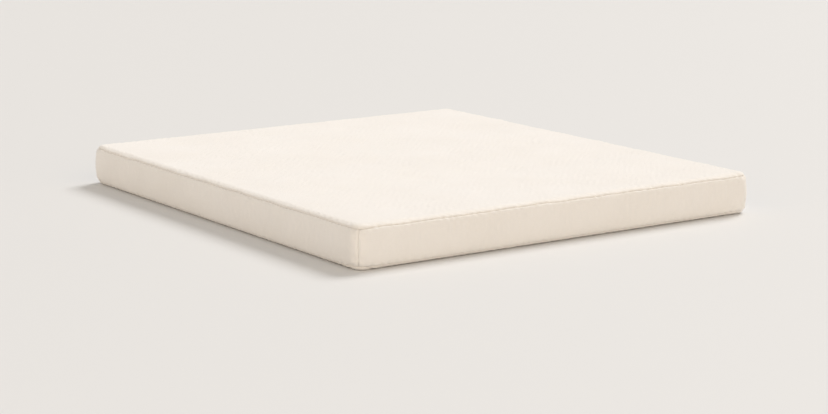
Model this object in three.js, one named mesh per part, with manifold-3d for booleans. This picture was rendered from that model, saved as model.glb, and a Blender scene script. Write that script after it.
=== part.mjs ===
// Futon mattress, 1800 x 2000 x 160 mm.
//
// A sewn cotton cover with a zip across the head end holds a calico case. The case holds a stack of
// wool, cotton, coconut coir and latex layers, and ties pulled through the stack stop it shifting.
//
// Millimetres. +Z is up, +Y points to the head end, and the origin is under the middle of the mattress.

import * as THREE from "three";
import { mergeVertices } from "three/addons/utils/BufferGeometryUtils.js";
import Module from "manifold-3d";

const wasm = await Module();
wasm.setup();

// ---------------------------------------------------------------- driving dimensions

const WIDTH = 1800;
const LENGTH = 2000;
const THICKNESS = 160;
const CORNER_RADIUS = 45; // seen from above
const EDGE_RADIUS = 28; // the soft round between the side and the top or the underside
const CORNER_STEPS = 5; // facets in each corner arc
const EDGE_STEPS = 4; // facets in each edge round

const GAP = 0.3; // air between two pieces that touch
const CLOTH = 1.6; // cotton twill of the cover
const CALICO = 1.2; // cloth of the inner case
const SEAM_ANGLE = 35; // degrees up the edge round, where a panel meets the border

const CASE_SIDE_INSET = 7; // from the cover's outer face to the case's, which leaves room for the zip
const CASE_TOP_INSET = 4.8; // the same above and below, which leaves room for the tie rosettes

// The stack from the bottom up: name, thickness and cloth or filling.
const LAYERS = [
  ["wool_layer_bottom", 12, "wool"],
  ["cotton_layer_1", 18, "cotton"],
  ["cotton_layer_2", 18, "cotton"],
  ["coir_sheet_bottom", 9, "coir"],
  ["latex_core", 30, "latex"],
  ["coir_sheet_top", 9, "coir"],
  ["cotton_layer_3", 18, "cotton"],
  ["cotton_layer_4", 18, "cotton"],
  ["wool_layer_top", 12, "wool"],
];
const LAYER_SLACK = 3; // between a layer's edge and the case

const TIE_COLUMNS = 4;
const TIE_ROWS = 5;
const TIE_SPACING = 400;
const TIE_CORD_RADIUS = 2;
const TIE_HOLE_RADIUS = 3.5; // the needle's way through each layer
const ROSETTE_RADIUS = 13;
const ROSETTE_THICKNESS = 2.4;
const TIE_SIDES = 6;

// The zip lies in the middle of the head border.
const ZIP_LENGTH = 1600; // of the slit in the border
const ZIP_SLIT = 7.2; // height of the slit
const ZIP_MIDDLE_GAP = 1.4; // between the two coils, where the slider's web runs
const COIL_WIDTH = 2.5; // one side
const COIL_DEPTH = 2.2;
const TAPE_WIDTH = 14; // one side
const TAPE_THICKNESS = 0.7;
const TAPE_OVERHANG = 10; // of the tape past each end of the slit
const STOP_LENGTH = 3;
const STOP_INSET = 4; // from the end of the slit to a stop

const SLIDER_LENGTH = 12;
const SLIDER_WIDTH = 9;
const SLIDER_NOSE = 6.5; // width at the narrow end
const SLIDER_PLATE = 1;
const SLIDER_LIFT = 0.9; // from the border's face to the front plate
const WEB_THICKNESS = 0.8;
const WEB_LENGTH = 4;
const SLIDER_PARK_GAP = 1; // between the parked slider and the top stops

const BAIL_LENGTH = 8.6;
const BAIL_WIDTH = 2;
const BAIL_HEIGHT = 3.2;
const BAIL_WALL = 1.2;

const PULL_LENGTH = 24;
const PULL_WIDTH = 7;
const PULL_THICKNESS = 1;
const PULL_RAIL = 1.9; // width of each side of the pull beside its eye
const PULL_EYE = 5.9; // length of the eye that the bail stands in
const PULL_PIVOT_LIFT = 0.85; // from the front plate to the pivot

const LABEL_WIDTH = 32;
const LABEL_HEIGHT = 42;
const LABEL_THICKNESS = 0.6;
const LABEL_DROP = 6; // from the middle of the zip to the label's upper edge
const LABEL_ALONG = 560; // from the middle of the head end to the label

// ---------------------------------------------------------------- materials

function cloth(color, roughness) {
  return new THREE.MeshStandardMaterial({ color, roughness, metalness: 0 });
}

function metal(color, roughness) {
  return new THREE.MeshStandardMaterial({ color, roughness, metalness: 1 });
}

const MATERIALS = {
  cover: () => cloth(0xf6f1ea, 0.9),
  calico: () => cloth(0xe9dfc8, 0.92),
  wool: () => cloth(0xefe6d2, 1),
  cotton: () => cloth(0xf3eee2, 1),
  coir: () => cloth(0x8a6238, 0.95),
  latex: () => cloth(0xf1e9cf, 0.6),
  tie: () => cloth(0xefe8d8, 0.9),
  tape: () => cloth(0xefe9dd, 0.85),
  coil: () => cloth(0xefe9dd, 0.45),
  label: () => cloth(0xfbfaf6, 0.7),
  zinc: () => metal(0xb9b9b4, 0.35),
};

// ---------------------------------------------------------------- solids

// A closed geometry as a solid that can be cut and joined.
function solid(geometry) {
  const bare = geometry.clone();
  bare.deleteAttribute("normal");
  bare.deleteAttribute("uv");
  const merged = mergeVertices(bare, 1e-4);
  return new wasm.Manifold(
    new wasm.Mesh({
      numProp: 3,
      vertProperties: new Float32Array(merged.attributes.position.array),
      triVerts: new Uint32Array(merged.index.array),
    }),
  );
}

// A solid as a geometry, with flat faces.
function geometryOf(shape) {
  const mesh = shape.getMesh();
  const geometry = new THREE.BufferGeometry();
  geometry.setAttribute("position", new THREE.BufferAttribute(mesh.vertProperties, 3));
  geometry.setIndex(new THREE.BufferAttribute(mesh.triVerts, 1));
  const flat = geometry.toNonIndexed();
  flat.computeVertexNormals();
  return flat;
}

// A box between two corners.
function block(low, high) {
  const size = high.map((value, axis) => value - low[axis]);
  const geometry = new THREE.BoxGeometry(...size);
  geometry.translate(...low.map((value, axis) => value + size[axis] / 2));
  return solid(geometry);
}

function roundedRectangle(width, length, radius) {
  const x = width / 2 - radius;
  const y = length / 2 - radius;
  const quarter = Math.PI / 2;
  const shape = new THREE.Shape();
  shape.absarc(x, -y, radius, -quarter, 0);
  shape.absarc(x, y, radius, 0, quarter);
  shape.absarc(-x, y, radius, quarter, 2 * quarter);
  shape.absarc(-x, -y, radius, 2 * quarter, 3 * quarter);
  shape.closePath();
  return shape;
}

// A flat-sided slab with rounded corners, from one height to another.
function prism(shape, bottom, top) {
  const settings = { depth: top - bottom, bevelEnabled: false, curveSegments: CORNER_STEPS };
  const geometry = new THREE.ExtrudeGeometry(shape, settings);
  geometry.translate(0, 0, bottom);
  return solid(geometry);
}

// A mattress shape: rounded corners, and a quarter round along its upper and lower edges. It is the
// whole mattress shrunk by one inset at the sides and another above and below.
function pillowSlab(sideInset, topInset) {
  const edge = EDGE_RADIUS - topInset;
  const corner = CORNER_RADIUS - sideInset - edge;
  const width = WIDTH - 2 * sideInset - 2 * edge;
  const length = LENGTH - 2 * sideInset - 2 * edge;
  const geometry = new THREE.ExtrudeGeometry(roundedRectangle(width, length, corner), {
    depth: THICKNESS - 2 * topInset - 2 * edge,
    bevelEnabled: true,
    bevelThickness: edge,
    bevelSize: edge,
    bevelSegments: EDGE_STEPS,
    curveSegments: CORNER_STEPS,
  });
  geometry.translate(0, 0, topInset + edge);
  return solid(geometry);
}

// Everything between two heights.
function between(bottom, top) {
  return block([-WIDTH, -LENGTH, bottom], [WIDTH, LENGTH, top]);
}

function piece(name, shape, material) {
  const mesh = new THREE.Mesh(geometryOf(shape), MATERIALS[material]());
  mesh.name = name;
  return mesh;
}

// ---------------------------------------------------------------- cover

const seamRise = EDGE_RADIUS * Math.sin(THREE.MathUtils.degToRad(SEAM_ANGLE));
const upperSeam = THICKNESS - EDGE_RADIUS + seamRise;
const lowerSeam = THICKNESS - upperSeam;

// The part of the border that belongs to one side. It ends at the middle of each corner, on the
// line that runs into the mattress at 45 degrees. `along` is the side's length and `out` is how
// far its face is from the centre.
function sideSector(along, out) {
  const reach = CORNER_RADIUS;
  const half = along / 2 - GAP / 2;
  const shape = new THREE.Shape();
  shape.moveTo(-half - reach, out + reach);
  shape.lineTo(-half + 2 * reach, out - 2 * reach);
  shape.lineTo(half - 2 * reach, out - 2 * reach);
  shape.lineTo(half + reach, out + reach);
  shape.closePath();
  return prism(shape, lowerSeam + GAP / 2, upperSeam - GAP / 2);
}

function makeCover() {
  const skin = pillowSlab(0, 0).subtract(pillowSlab(CLOTH, CLOTH));
  const headSector = sideSector(WIDTH, LENGTH / 2);
  const sideways = sideSector(LENGTH, WIDTH / 2);
  const middle = THICKNESS / 2;
  const slit = block(
    [-ZIP_LENGTH / 2, LENGTH / 2 - CORNER_RADIUS, middle - ZIP_SLIT / 2],
    [ZIP_LENGTH / 2, LENGTH / 2 + CORNER_RADIUS, middle + ZIP_SLIT / 2],
  );
  const head = skin.intersect(headSector).subtract(slit);
  const cover = new THREE.Group();
  cover.add(
    piece("cover_top_panel", skin.intersect(between(upperSeam + GAP / 2, THICKNESS + 1)), "cover"),
    piece("cover_bottom_panel", skin.intersect(between(-1, lowerSeam - GAP / 2)), "cover"),
    piece("cover_border_foot", skin.intersect(headSector.rotate([0, 0, 180])), "cover"),
    piece("cover_border_left", skin.intersect(sideways.rotate([0, 0, 90])), "cover"),
    piece("cover_border_right", skin.intersect(sideways.rotate([0, 0, -90])), "cover"),
    piece("cover_border_head_upper", head.intersect(between(middle + GAP / 2, THICKNESS)), "cover"),
    piece("cover_border_head_lower", head.intersect(between(0, middle - GAP / 2)), "cover"),
  );
  return cover;
}

// ---------------------------------------------------------------- ties

function tiePlaces() {
  const places = [];
  for (let row = 0; row < TIE_ROWS; row += 1) {
    for (let column = 0; column < TIE_COLUMNS; column += 1) {
      places.push({
        name: `tufting_tie_${row + 1}_${column + 1}`,
        x: (column - (TIE_COLUMNS - 1) / 2) * TIE_SPACING,
        y: (row - (TIE_ROWS - 1) / 2) * TIE_SPACING,
      });
    }
  }
  return places;
}

// The holes that the ties run in, through the whole stack.
function tieHoles() {
  const round = new THREE.CylinderGeometry(TIE_HOLE_RADIUS, TIE_HOLE_RADIUS, 2 * THICKNESS, TIE_SIDES);
  round.rotateX(Math.PI / 2);
  const hole = solid(round);
  const holes = tiePlaces().map((place) => hole.translate([place.x, place.y, THICKNESS / 2]));
  return holes.reduce((all, one) => all.add(one));
}

// One tie: a cord with a felt rosette knotted on at each end, outside the case.
function tieGeometry() {
  const bottom = CASE_TOP_INSET - GAP - ROSETTE_THICKNESS;
  const top = THICKNESS - bottom;
  const profile = [
    [0, bottom],
    [ROSETTE_RADIUS, bottom],
    [ROSETTE_RADIUS, bottom + ROSETTE_THICKNESS],
    [TIE_CORD_RADIUS, bottom + ROSETTE_THICKNESS],
    [TIE_CORD_RADIUS, top - ROSETTE_THICKNESS],
    [ROSETTE_RADIUS, top - ROSETTE_THICKNESS],
    [ROSETTE_RADIUS, top],
    [0, top],
  ];
  const points = profile.map(([radius, height]) => new THREE.Vector2(radius, height));
  const geometry = new THREE.LatheGeometry(points, TIE_SIDES);
  geometry.rotateX(Math.PI / 2);
  return geometryOf(solid(geometry));
}

function makeTies() {
  const ties = new THREE.Group();
  for (const place of tiePlaces()) {
    const tie = new THREE.Mesh(tieGeometry(), MATERIALS.tie());
    tie.name = place.name;
    tie.position.set(place.x, place.y, 0);
    ties.add(tie);
  }
  return ties;
}

// ---------------------------------------------------------------- case and filling

function makeCase(holes) {
  const outside = pillowSlab(CASE_SIDE_INSET, CASE_TOP_INSET);
  const inside = pillowSlab(CASE_SIDE_INSET + CALICO, CASE_TOP_INSET + CALICO);
  const skin = outside.subtract(inside).subtract(holes);
  const inner = new THREE.Group();
  inner.add(
    piece("inner_case_top", skin.intersect(between(upperSeam + GAP / 2, THICKNESS)), "calico"),
    piece("inner_case_border", skin.intersect(between(lowerSeam, upperSeam - GAP / 2)), "calico"),
    piece("inner_case_bottom", skin.intersect(between(0, lowerSeam - GAP)), "calico"),
  );
  return inner;
}

// How far the case's round draws in at a height, next to its widest place.
function drawIn(height) {
  const radius = EDGE_RADIUS - CASE_TOP_INSET - CALICO;
  const straight = THICKNESS / 2 - EDGE_RADIUS;
  const past = Math.max(0, Math.abs(height - THICKNESS / 2) - straight);
  return radius - Math.sqrt(radius * radius - past * past);
}

function makeFilling(holes) {
  const filling = new THREE.Group();
  const shell = CASE_TOP_INSET + CALICO + GAP;
  const total = LAYERS.reduce((sum, [, thickness]) => sum + thickness, 0);
  const step = (THICKNESS - 2 * shell - total) / (LAYERS.length - 1);
  let bottom = shell;
  for (const [name, thickness, material] of LAYERS) {
    const top = bottom + thickness;
    const inset = Math.max(drawIn(bottom), drawIn(top)) + CASE_SIDE_INSET + CALICO + LAYER_SLACK;
    const corner = CORNER_RADIUS - Math.min(inset, CORNER_RADIUS / 2);
    const outline = roundedRectangle(WIDTH - 2 * inset, LENGTH - 2 * inset, corner);
    filling.add(piece(name, prism(outline, bottom, top).subtract(holes), material));
    bottom = top + step;
  }
  return filling;
}

// ---------------------------------------------------------------- zip

// The zip's own axes: x runs along it the way that it opens, y is up the border, and z is out of
// the border, from zero at the border's face.
const tapeFront = -CLOTH - GAP;
const coilBack = tapeFront + GAP;
const coilFront = coilBack + COIL_DEPTH;
const slitEnd = ZIP_LENGTH / 2;
const coilEnd = slitEnd - STOP_INSET - STOP_LENGTH - GAP;
const sliderPark = -coilEnd + SLIDER_PARK_GAP + SLIDER_LENGTH / 2;
const frontPlateTop = SLIDER_LIFT + SLIDER_PLATE;

// A solid for the upper side of the zip, or turned over for the lower side.
function forSide(shape, side) {
  return side === "upper" ? shape : shape.mirror([0, 1, 0]);
}

function tape(side) {
  const low = [-slitEnd - TAPE_OVERHANG, ZIP_MIDDLE_GAP / 2, tapeFront - TAPE_THICKNESS];
  const high = [slitEnd + TAPE_OVERHANG, ZIP_MIDDLE_GAP / 2 + TAPE_WIDTH, tapeFront];
  return piece(`zip_tape_${side}`, forSide(block(low, high), side), "tape");
}

// One side's coil, as the half-round bar that its turns fill.
function coil(side) {
  const near = ZIP_MIDDLE_GAP / 2;
  const outline = new THREE.Shape();
  outline.moveTo(near, coilBack);
  outline.lineTo(near + COIL_WIDTH, coilBack);
  outline.lineTo(near + COIL_WIDTH, coilBack + COIL_DEPTH / 2);
  outline.lineTo(near + COIL_WIDTH * 0.75, coilFront);
  outline.lineTo(near, coilFront);
  outline.closePath();
  const bar = new THREE.ExtrudeGeometry(outline, { depth: 2 * coilEnd, bevelEnabled: false });
  bar.rotateX(Math.PI / 2);
  bar.rotateZ(Math.PI / 2);
  bar.translate(-coilEnd, 0, 0);
  return piece(`zip_coil_${side}`, forSide(solid(bar), side), "coil");
}

// The metal clip that ends one coil at the closed end.
function topStop(side) {
  const low = [-slitEnd + STOP_INSET, ZIP_MIDDLE_GAP / 2, coilBack];
  const high = [-slitEnd + STOP_INSET + STOP_LENGTH, ZIP_MIDDLE_GAP / 2 + COIL_WIDTH, coilFront];
  return piece(`zip_top_stop_${side}`, forSide(block(low, high), side), "zinc");
}

// The clip that holds both coils together at the open end.
function bottomStop() {
  const half = ZIP_MIDDLE_GAP / 2 + COIL_WIDTH;
  const low = [slitEnd - STOP_INSET - STOP_LENGTH, -half, coilBack];
  const high = [slitEnd - STOP_INSET, half, coilFront];
  return piece("zip_bottom_stop", block(low, high), "zinc");
}

// A slider plate seen from the front: square at the end where the coils part, narrower at the nose.
function sliderPlate(bottom) {
  const half = SLIDER_LENGTH / 2;
  const shape = new THREE.Shape();
  shape.moveTo(-half, -SLIDER_WIDTH / 2);
  shape.lineTo(0, -SLIDER_WIDTH / 2);
  shape.lineTo(half, -SLIDER_NOSE / 2);
  shape.lineTo(half, SLIDER_NOSE / 2);
  shape.lineTo(0, SLIDER_WIDTH / 2);
  shape.lineTo(-half, SLIDER_WIDTH / 2);
  shape.closePath();
  return prism(shape, bottom, bottom + SLIDER_PLATE);
}

// The arch on the front plate that the pull's bar turns under.
function bail() {
  const half = BAIL_LENGTH / 2;
  const low = frontPlateTop - SLIDER_PLATE / 2;
  const arch = block([-half, -BAIL_WIDTH / 2, low], [half, BAIL_WIDTH / 2, frontPlateTop + BAIL_HEIGHT]);
  const eye = block(
    [-half + BAIL_WALL, -BAIL_WIDTH, low - 1],
    [half - BAIL_WALL, BAIL_WIDTH, frontPlateTop + BAIL_HEIGHT - BAIL_WALL],
  );
  return arch.subtract(eye);
}

// The slider: a plate in front of the coils, one behind the tapes, and a web between them.
function slider() {
  const backPlate = tapeFront - TAPE_THICKNESS - GAP - SLIDER_PLATE;
  const web = block(
    [-WEB_LENGTH / 2, -WEB_THICKNESS / 2, backPlate + SLIDER_PLATE / 2],
    [WEB_LENGTH / 2, WEB_THICKNESS / 2, SLIDER_LIFT + SLIDER_PLATE / 2],
  );
  const body = sliderPlate(SLIDER_LIFT).add(sliderPlate(backPlate)).add(web).add(bail());
  const mesh = piece("zip_slider", body, "zinc");
  mesh.position.x = sliderPark;
  return mesh;
}

// The pull lies flat along the closed zip. The bar at its end turns under the bail.
function pullTab() {
  const half = PULL_WIDTH / 2;
  const bar = PULL_THICKNESS / 2;
  const outline = new THREE.Shape();
  outline.moveTo(-bar, -half + PULL_RAIL / 2);
  outline.lineTo(bar, -half);
  outline.lineTo(PULL_LENGTH - half, -half);
  outline.absarc(PULL_LENGTH - half, 0, half, -Math.PI / 2, Math.PI / 2);
  outline.lineTo(bar, half);
  outline.lineTo(-bar, half - PULL_RAIL / 2);
  outline.closePath();
  const plate = prism(outline, -bar, bar);
  const eye = block([bar, -half + PULL_RAIL, -1], [bar + PULL_EYE, half - PULL_RAIL, 1]);
  const mesh = piece("zip_pull_tab", plate.subtract(eye), "zinc");
  mesh.position.set(sliderPark, 0, frontPlateTop + PULL_PIVOT_LIFT);
  return mesh;
}

function label() {
  const low = [LABEL_ALONG, -LABEL_DROP - LABEL_HEIGHT, GAP];
  const high = [LABEL_ALONG + LABEL_WIDTH, -LABEL_DROP, GAP + LABEL_THICKNESS];
  return piece("care_label", block(low, high), "label");
}

function makeZip() {
  const zip = new THREE.Group();
  for (const side of ["upper", "lower"]) {
    zip.add(tape(side), coil(side), topStop(side));
  }
  zip.add(bottomStop(), slider(), pullTab(), label());
  zip.position.set(0, LENGTH / 2, THICKNESS / 2);
  zip.rotation.set(-Math.PI / 2, 0, Math.PI);
  return zip;
}

// ---------------------------------------------------------------- the mattress

const holes = tieHoles();
const futon = new THREE.Group();
futon.add(makeCover(), makeCase(holes), makeFilling(holes), makeTies(), makeZip());

export default futon;
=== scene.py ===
# %% [markdown]
# # A futon mattress in its cotton cover
#
# A futon mattress is a stack of wadding, coir and latex sewn into a calico case, and a washable cotton
# cover goes over that. What anybody sees is the cover: five panels and a zip, sewn into a flat box
# that the filling pushes out. So most of this lesson is about cloth over a filling: where the cloth
# is free it swells and creases a little, and where it is sewn it draws in.
#
# The imported model is the frame. It is loaded first, and the main sizes below come from its boxes.

# %% load the frame
import math

import bmesh
import bpy
import numpy as np
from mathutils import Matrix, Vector


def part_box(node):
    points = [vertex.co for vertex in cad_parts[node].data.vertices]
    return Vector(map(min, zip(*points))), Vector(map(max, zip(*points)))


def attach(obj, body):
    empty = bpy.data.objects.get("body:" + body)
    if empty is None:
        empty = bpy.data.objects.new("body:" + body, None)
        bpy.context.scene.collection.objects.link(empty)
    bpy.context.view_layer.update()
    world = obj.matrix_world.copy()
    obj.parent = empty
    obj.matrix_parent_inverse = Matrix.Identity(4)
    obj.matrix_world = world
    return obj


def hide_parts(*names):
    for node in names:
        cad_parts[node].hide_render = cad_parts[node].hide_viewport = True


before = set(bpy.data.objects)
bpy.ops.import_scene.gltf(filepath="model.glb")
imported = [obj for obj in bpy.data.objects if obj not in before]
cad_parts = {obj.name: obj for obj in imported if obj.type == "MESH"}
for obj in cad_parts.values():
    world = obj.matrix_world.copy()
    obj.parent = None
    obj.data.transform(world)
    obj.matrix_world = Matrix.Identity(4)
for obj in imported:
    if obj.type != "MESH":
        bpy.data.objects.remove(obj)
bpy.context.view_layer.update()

# %% [markdown]
# The cover's shape needs six lengths: its width, length and thickness, the round of its corners seen
# from above, the round of its edges, and the height of the seam between the top and the border. The
# first three are read from the boxes of the CAD panels. The two rounds are given, and the seam's height
# follows from the round of the edge and the angle at which the seam sits on it.

# %% sizes of the cover
MATTRESS = "mattress"

right_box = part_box("cover_border_right")
left_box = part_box("cover_border_left")
head_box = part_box("cover_border_head_upper")
foot_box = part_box("cover_border_foot")
top_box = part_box("cover_top_panel")
bottom_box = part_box("cover_bottom_panel")

HALF_WIDTH = (right_box[1][0] - left_box[0][0]) / 2
HALF_LENGTH = (head_box[1][1] - foot_box[0][1]) / 2
THICKNESS = top_box[1][2] - bottom_box[0][2]
CORNER_RADIUS = 0.045
EDGE_RADIUS = 0.028
SEAM_ANGLE = math.radians(35)
print("cover", round(2 * HALF_WIDTH, 3), "x", round(2 * HALF_LENGTH, 3), "x", round(THICKNESS, 3), "m")

# %% [markdown]
# ## Camera, floor and light
#
# The camera stands off the foot-left corner, a little above the mattress, and looks along it with a
# long lens, so the mattress keeps its flat, calm shape. It is placed by its own position, with no
# shift, and it turns by two angles: how far round it is aimed, and how far down.

# %% camera
CAMERA_PLACE = (-4.73, -6.91, 1.634)
CAMERA_AZIMUTH = math.radians(-34.5)
CAMERA_ELEVATION = math.radians(11.3)
CAMERA_LENS = 93.0


def make_camera():
    data = bpy.data.cameras.new("camera")
    data.lens = CAMERA_LENS
    data.sensor_width = 36.0
    camera = bpy.data.objects.new("camera", data)
    camera.location = CAMERA_PLACE
    camera.rotation_euler = (math.pi / 2 - CAMERA_ELEVATION, 0, CAMERA_AZIMUTH)
    bpy.context.scene.collection.objects.link(camera)
    bpy.context.scene.camera = camera


make_camera()

# %% [markdown]
# A studio sweep needs only a pale floor and a few large soft lights. Area lamps would leave a pool of
# light on the floor, so wide suns stand for them: their light is even from wall to wall, and the
# wide angle keeps every shadow soft. The key light comes from the right and a little behind, so the
# top is the brightest face and the shadow falls to the left. Two weaker, warmer ones keep the sides
# from going grey.

# %% floor and lights
FLOOR_SIZE = 60.0
FLOOR_COLOR = (0.74, 0.742, 0.745, 1)
WORLD_COLOR = (1.0, 0.985, 0.965, 1)
WORLD_STRENGTH = 0.48

# name, the direction it comes from, its angular size in degrees, strength, colour
LIGHTS = [
    ("key", (0.72, 0.24, 0.8), 26, 1.98, (1.0, 0.985, 0.97)),
    ("front", (0.15, -1.0, 0.34), 55, 0.88, (1.0, 0.79, 0.54)),
    ("left", (-1.0, -0.1, 0.3), 55, 0.72, (1.0, 0.78, 0.52)),
]


def new_object(name, data):
    made = bpy.data.objects.new(name, data)
    bpy.context.scene.collection.objects.link(made)
    return made


def make_light(name, source, spread, strength, color):
    data = bpy.data.lights.new(name, "SUN")
    data.angle = math.radians(spread)
    data.energy = strength
    data.color = color
    light = new_object(name, data)
    light.rotation_euler = Vector(source).to_track_quat("Z", "Y").to_euler()


def make_floor():
    half = FLOOR_SIZE / 2
    mesh = bpy.data.meshes.new("floor")
    corners = [(-half, -half, 0), (half, -half, 0), (half, half, 0), (-half, half, 0)]
    mesh.from_pydata(corners, [], [(0, 1, 2, 3)])
    material = bpy.data.materials.new("floor")
    material.use_nodes = True
    shader = material.node_tree.nodes["Principled BSDF"]
    shader.inputs["Base Color"].default_value = FLOOR_COLOR
    shader.inputs["Roughness"].default_value = 0.7
    mesh.materials.append(material)
    new_object("floor", mesh)


def make_world():
    world = bpy.data.worlds.new("studio")
    world.use_nodes = True
    background = world.node_tree.nodes["Background"]
    background.inputs["Color"].default_value = WORLD_COLOR
    background.inputs["Strength"].default_value = WORLD_STRENGTH
    bpy.context.scene.world = world
    bpy.context.scene.view_settings.view_transform = "Standard"


make_floor()
make_world()
for light in LIGHTS:
    make_light(*light)

# %% [markdown]
# ## Finishes
#
# Every finish is built from nodes, so it needs small helpers: one that adds a node and fills its
# inputs, and one that does a sum in a Math node. An input is a number, a colour or another node's
# output.

# %% node helpers
def put(tree, socket, value):
    if isinstance(value, bpy.types.NodeSocket):
        tree.links.new(value, socket)
    else:
        socket.default_value = value


def node(tree, kind, settings=None, **inputs):
    made = tree.nodes.new(kind)
    for name, value in (settings or {}).items():
        setattr(made, name, value)
    for name, value in inputs.items():
        put(tree, made.inputs[name.replace("_", " ")], value)
    return made


def math_node(tree, operation, *values):
    made = tree.nodes.new("ShaderNodeMath")
    made.operation = operation
    for socket, value in zip(made.inputs, values):
        put(tree, socket, value)
    return made.outputs[0]


def mix_color(tree, factor, low, high, blend="MIX"):
    made = tree.nodes.new("ShaderNodeMix")
    made.data_type = "RGBA"
    made.blend_type = blend
    put(tree, made.inputs["Factor"], factor)
    put(tree, made.inputs[6], low)
    put(tree, made.inputs[7], high)
    return made.outputs[2]


def ramp(tree, value, low, high, out_low=0.0, out_high=1.0):
    made = node(tree, "ShaderNodeMapRange", Value=value)
    made.inputs["From Min"].default_value = low
    made.inputs["From Max"].default_value = high
    made.inputs["To Min"].default_value = out_low
    made.inputs["To Max"].default_value = out_high
    return made.outputs["Result"]


def noise(tree, vector, scale, detail=2.0, roughness=0.5):
    made = node(tree, "ShaderNodeTexNoise", Vector=vector, Scale=scale, Detail=detail, Roughness=roughness)
    return made.outputs["Fac"]


def stretched(tree, vector, scale):
    made = node(tree, "ShaderNodeVectorMath", {"operation": "MULTIPLY"})
    put(tree, made.inputs[0], vector)
    made.inputs[1].default_value = scale
    return made.outputs[0]


def new_group(name, inputs, outputs):
    group = bpy.data.node_groups.new(name, "ShaderNodeTree")
    for label, kind, value in inputs:
        socket = group.interface.new_socket(label, in_out="INPUT", socket_type=kind)
        if value is not None:
            socket.default_value = value
    for label, kind in outputs:
        group.interface.new_socket(label, in_out="OUTPUT", socket_type=kind)
    return group, group.nodes.new("NodeGroupInput"), group.nodes.new("NodeGroupOutput")


# %% [markdown]
# Woven cloth is the effect that most pieces share, so it is a group of its own. Threads run both
# ways at one pitch. Each thread is a rounded ridge, and a ridge dips where the other thread crosses
# over it. Cotton is never even: some threads are thicker for a hand's length, which is what the slub
# output shows, and the whole cloth has faint clouds in it. The group takes the cloth's own flat
# coordinates, in metres, so that the weave turns round edges with the cloth.

# %% woven cloth group
FLOAT = "NodeSocketFloat"
VECTOR = "NodeSocketVector"


def make_weave_group():
    tree, given, out = new_group(
        "woven cloth",
        [("Vector", VECTOR, None), ("Pitch", FLOAT, 0.001), ("Twill", FLOAT, 0.0)],
        [("Height", FLOAT), ("Slub", FLOAT), ("Clouds", FLOAT)],
    )
    vector = given.outputs["Vector"]
    parts = node(tree, "ShaderNodeSeparateXYZ", Vector=vector)
    across = math_node(tree, "DIVIDE", parts.outputs["X"], given.outputs["Pitch"])
    along = math_node(tree, "DIVIDE", parts.outputs["Y"], given.outputs["Pitch"])
    warp = math_node(tree, "ABSOLUTE", math_node(tree, "SINE", math_node(tree, "MULTIPLY", across, math.pi)))
    weft = math_node(tree, "ABSOLUTE", math_node(tree, "SINE", math_node(tree, "MULTIPLY", along, math.pi)))
    step = math_node(tree, "ADD", math_node(tree, "FLOOR", across), math_node(tree, "FLOOR", along))
    plain = math_node(tree, "FLOORED_MODULO", step, 2.0)
    twill = math_node(tree, "LESS_THAN", math_node(tree, "FLOORED_MODULO", step, 3.0), 1.5)
    over = node(tree, "ShaderNodeMix", Factor=given.outputs["Twill"])
    put(tree, over.inputs[2], plain)
    put(tree, over.inputs[3], twill)
    raised = node(tree, "ShaderNodeMix", Factor=over.outputs[0])
    put(tree, raised.inputs[2], warp)
    put(tree, raised.inputs[3], weft)
    slub_across = noise(tree, stretched(tree, vector, (900, 9, 1)), 1.0)
    slub_along = noise(tree, stretched(tree, vector, (9, 900, 1)), 1.0)
    slub = math_node(tree, "MULTIPLY", math_node(tree, "ADD", slub_across, slub_along), 0.5)
    height = math_node(tree, "ADD", raised.outputs[0], math_node(tree, "MULTIPLY", slub, 0.8))
    clouds = noise(tree, vector, 3.0, 4.0, 0.55)
    put(tree, out.inputs["Height"], height)
    put(tree, out.inputs["Slub"], slub)
    put(tree, out.inputs["Clouds"], clouds)
    return tree


WEAVE = make_weave_group()

# %% [markdown]
# A cloth finish reads the flat coordinates from a mesh attribute, passes them through the group, and
# shades with a rough surface and a little sheen, which is the light that loose fibre ends catch. The
# third number of the attribute is the distance to the nearest seam. Towards a seam the colour deepens
# slightly: that is painted shade, standing in for the shade that falls in the creases along it.

# %% cloth finish
CLOTH_ATTRIBUTE = "cloth"


def principled(name):
    material = bpy.data.materials.new(name)
    material.use_nodes = True
    tree = material.node_tree
    return material, tree, tree.nodes["Principled BSDF"]


SLUB_SHADE = 0.35
CLOUD_SHADE = 0.4
# share of the painted shade that deepens the colour along the seams
PAINTED_SEAM_SHADE_SHARE = 0.6


def weighted_sum(tree, *terms):
    """Each mask times its share, all added up."""
    total = None
    for mask, share in terms:
        part = math_node(tree, "MULTIPLY", mask, share)
        total = part if total is None else math_node(tree, "ADD", total, part)
    return total


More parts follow.
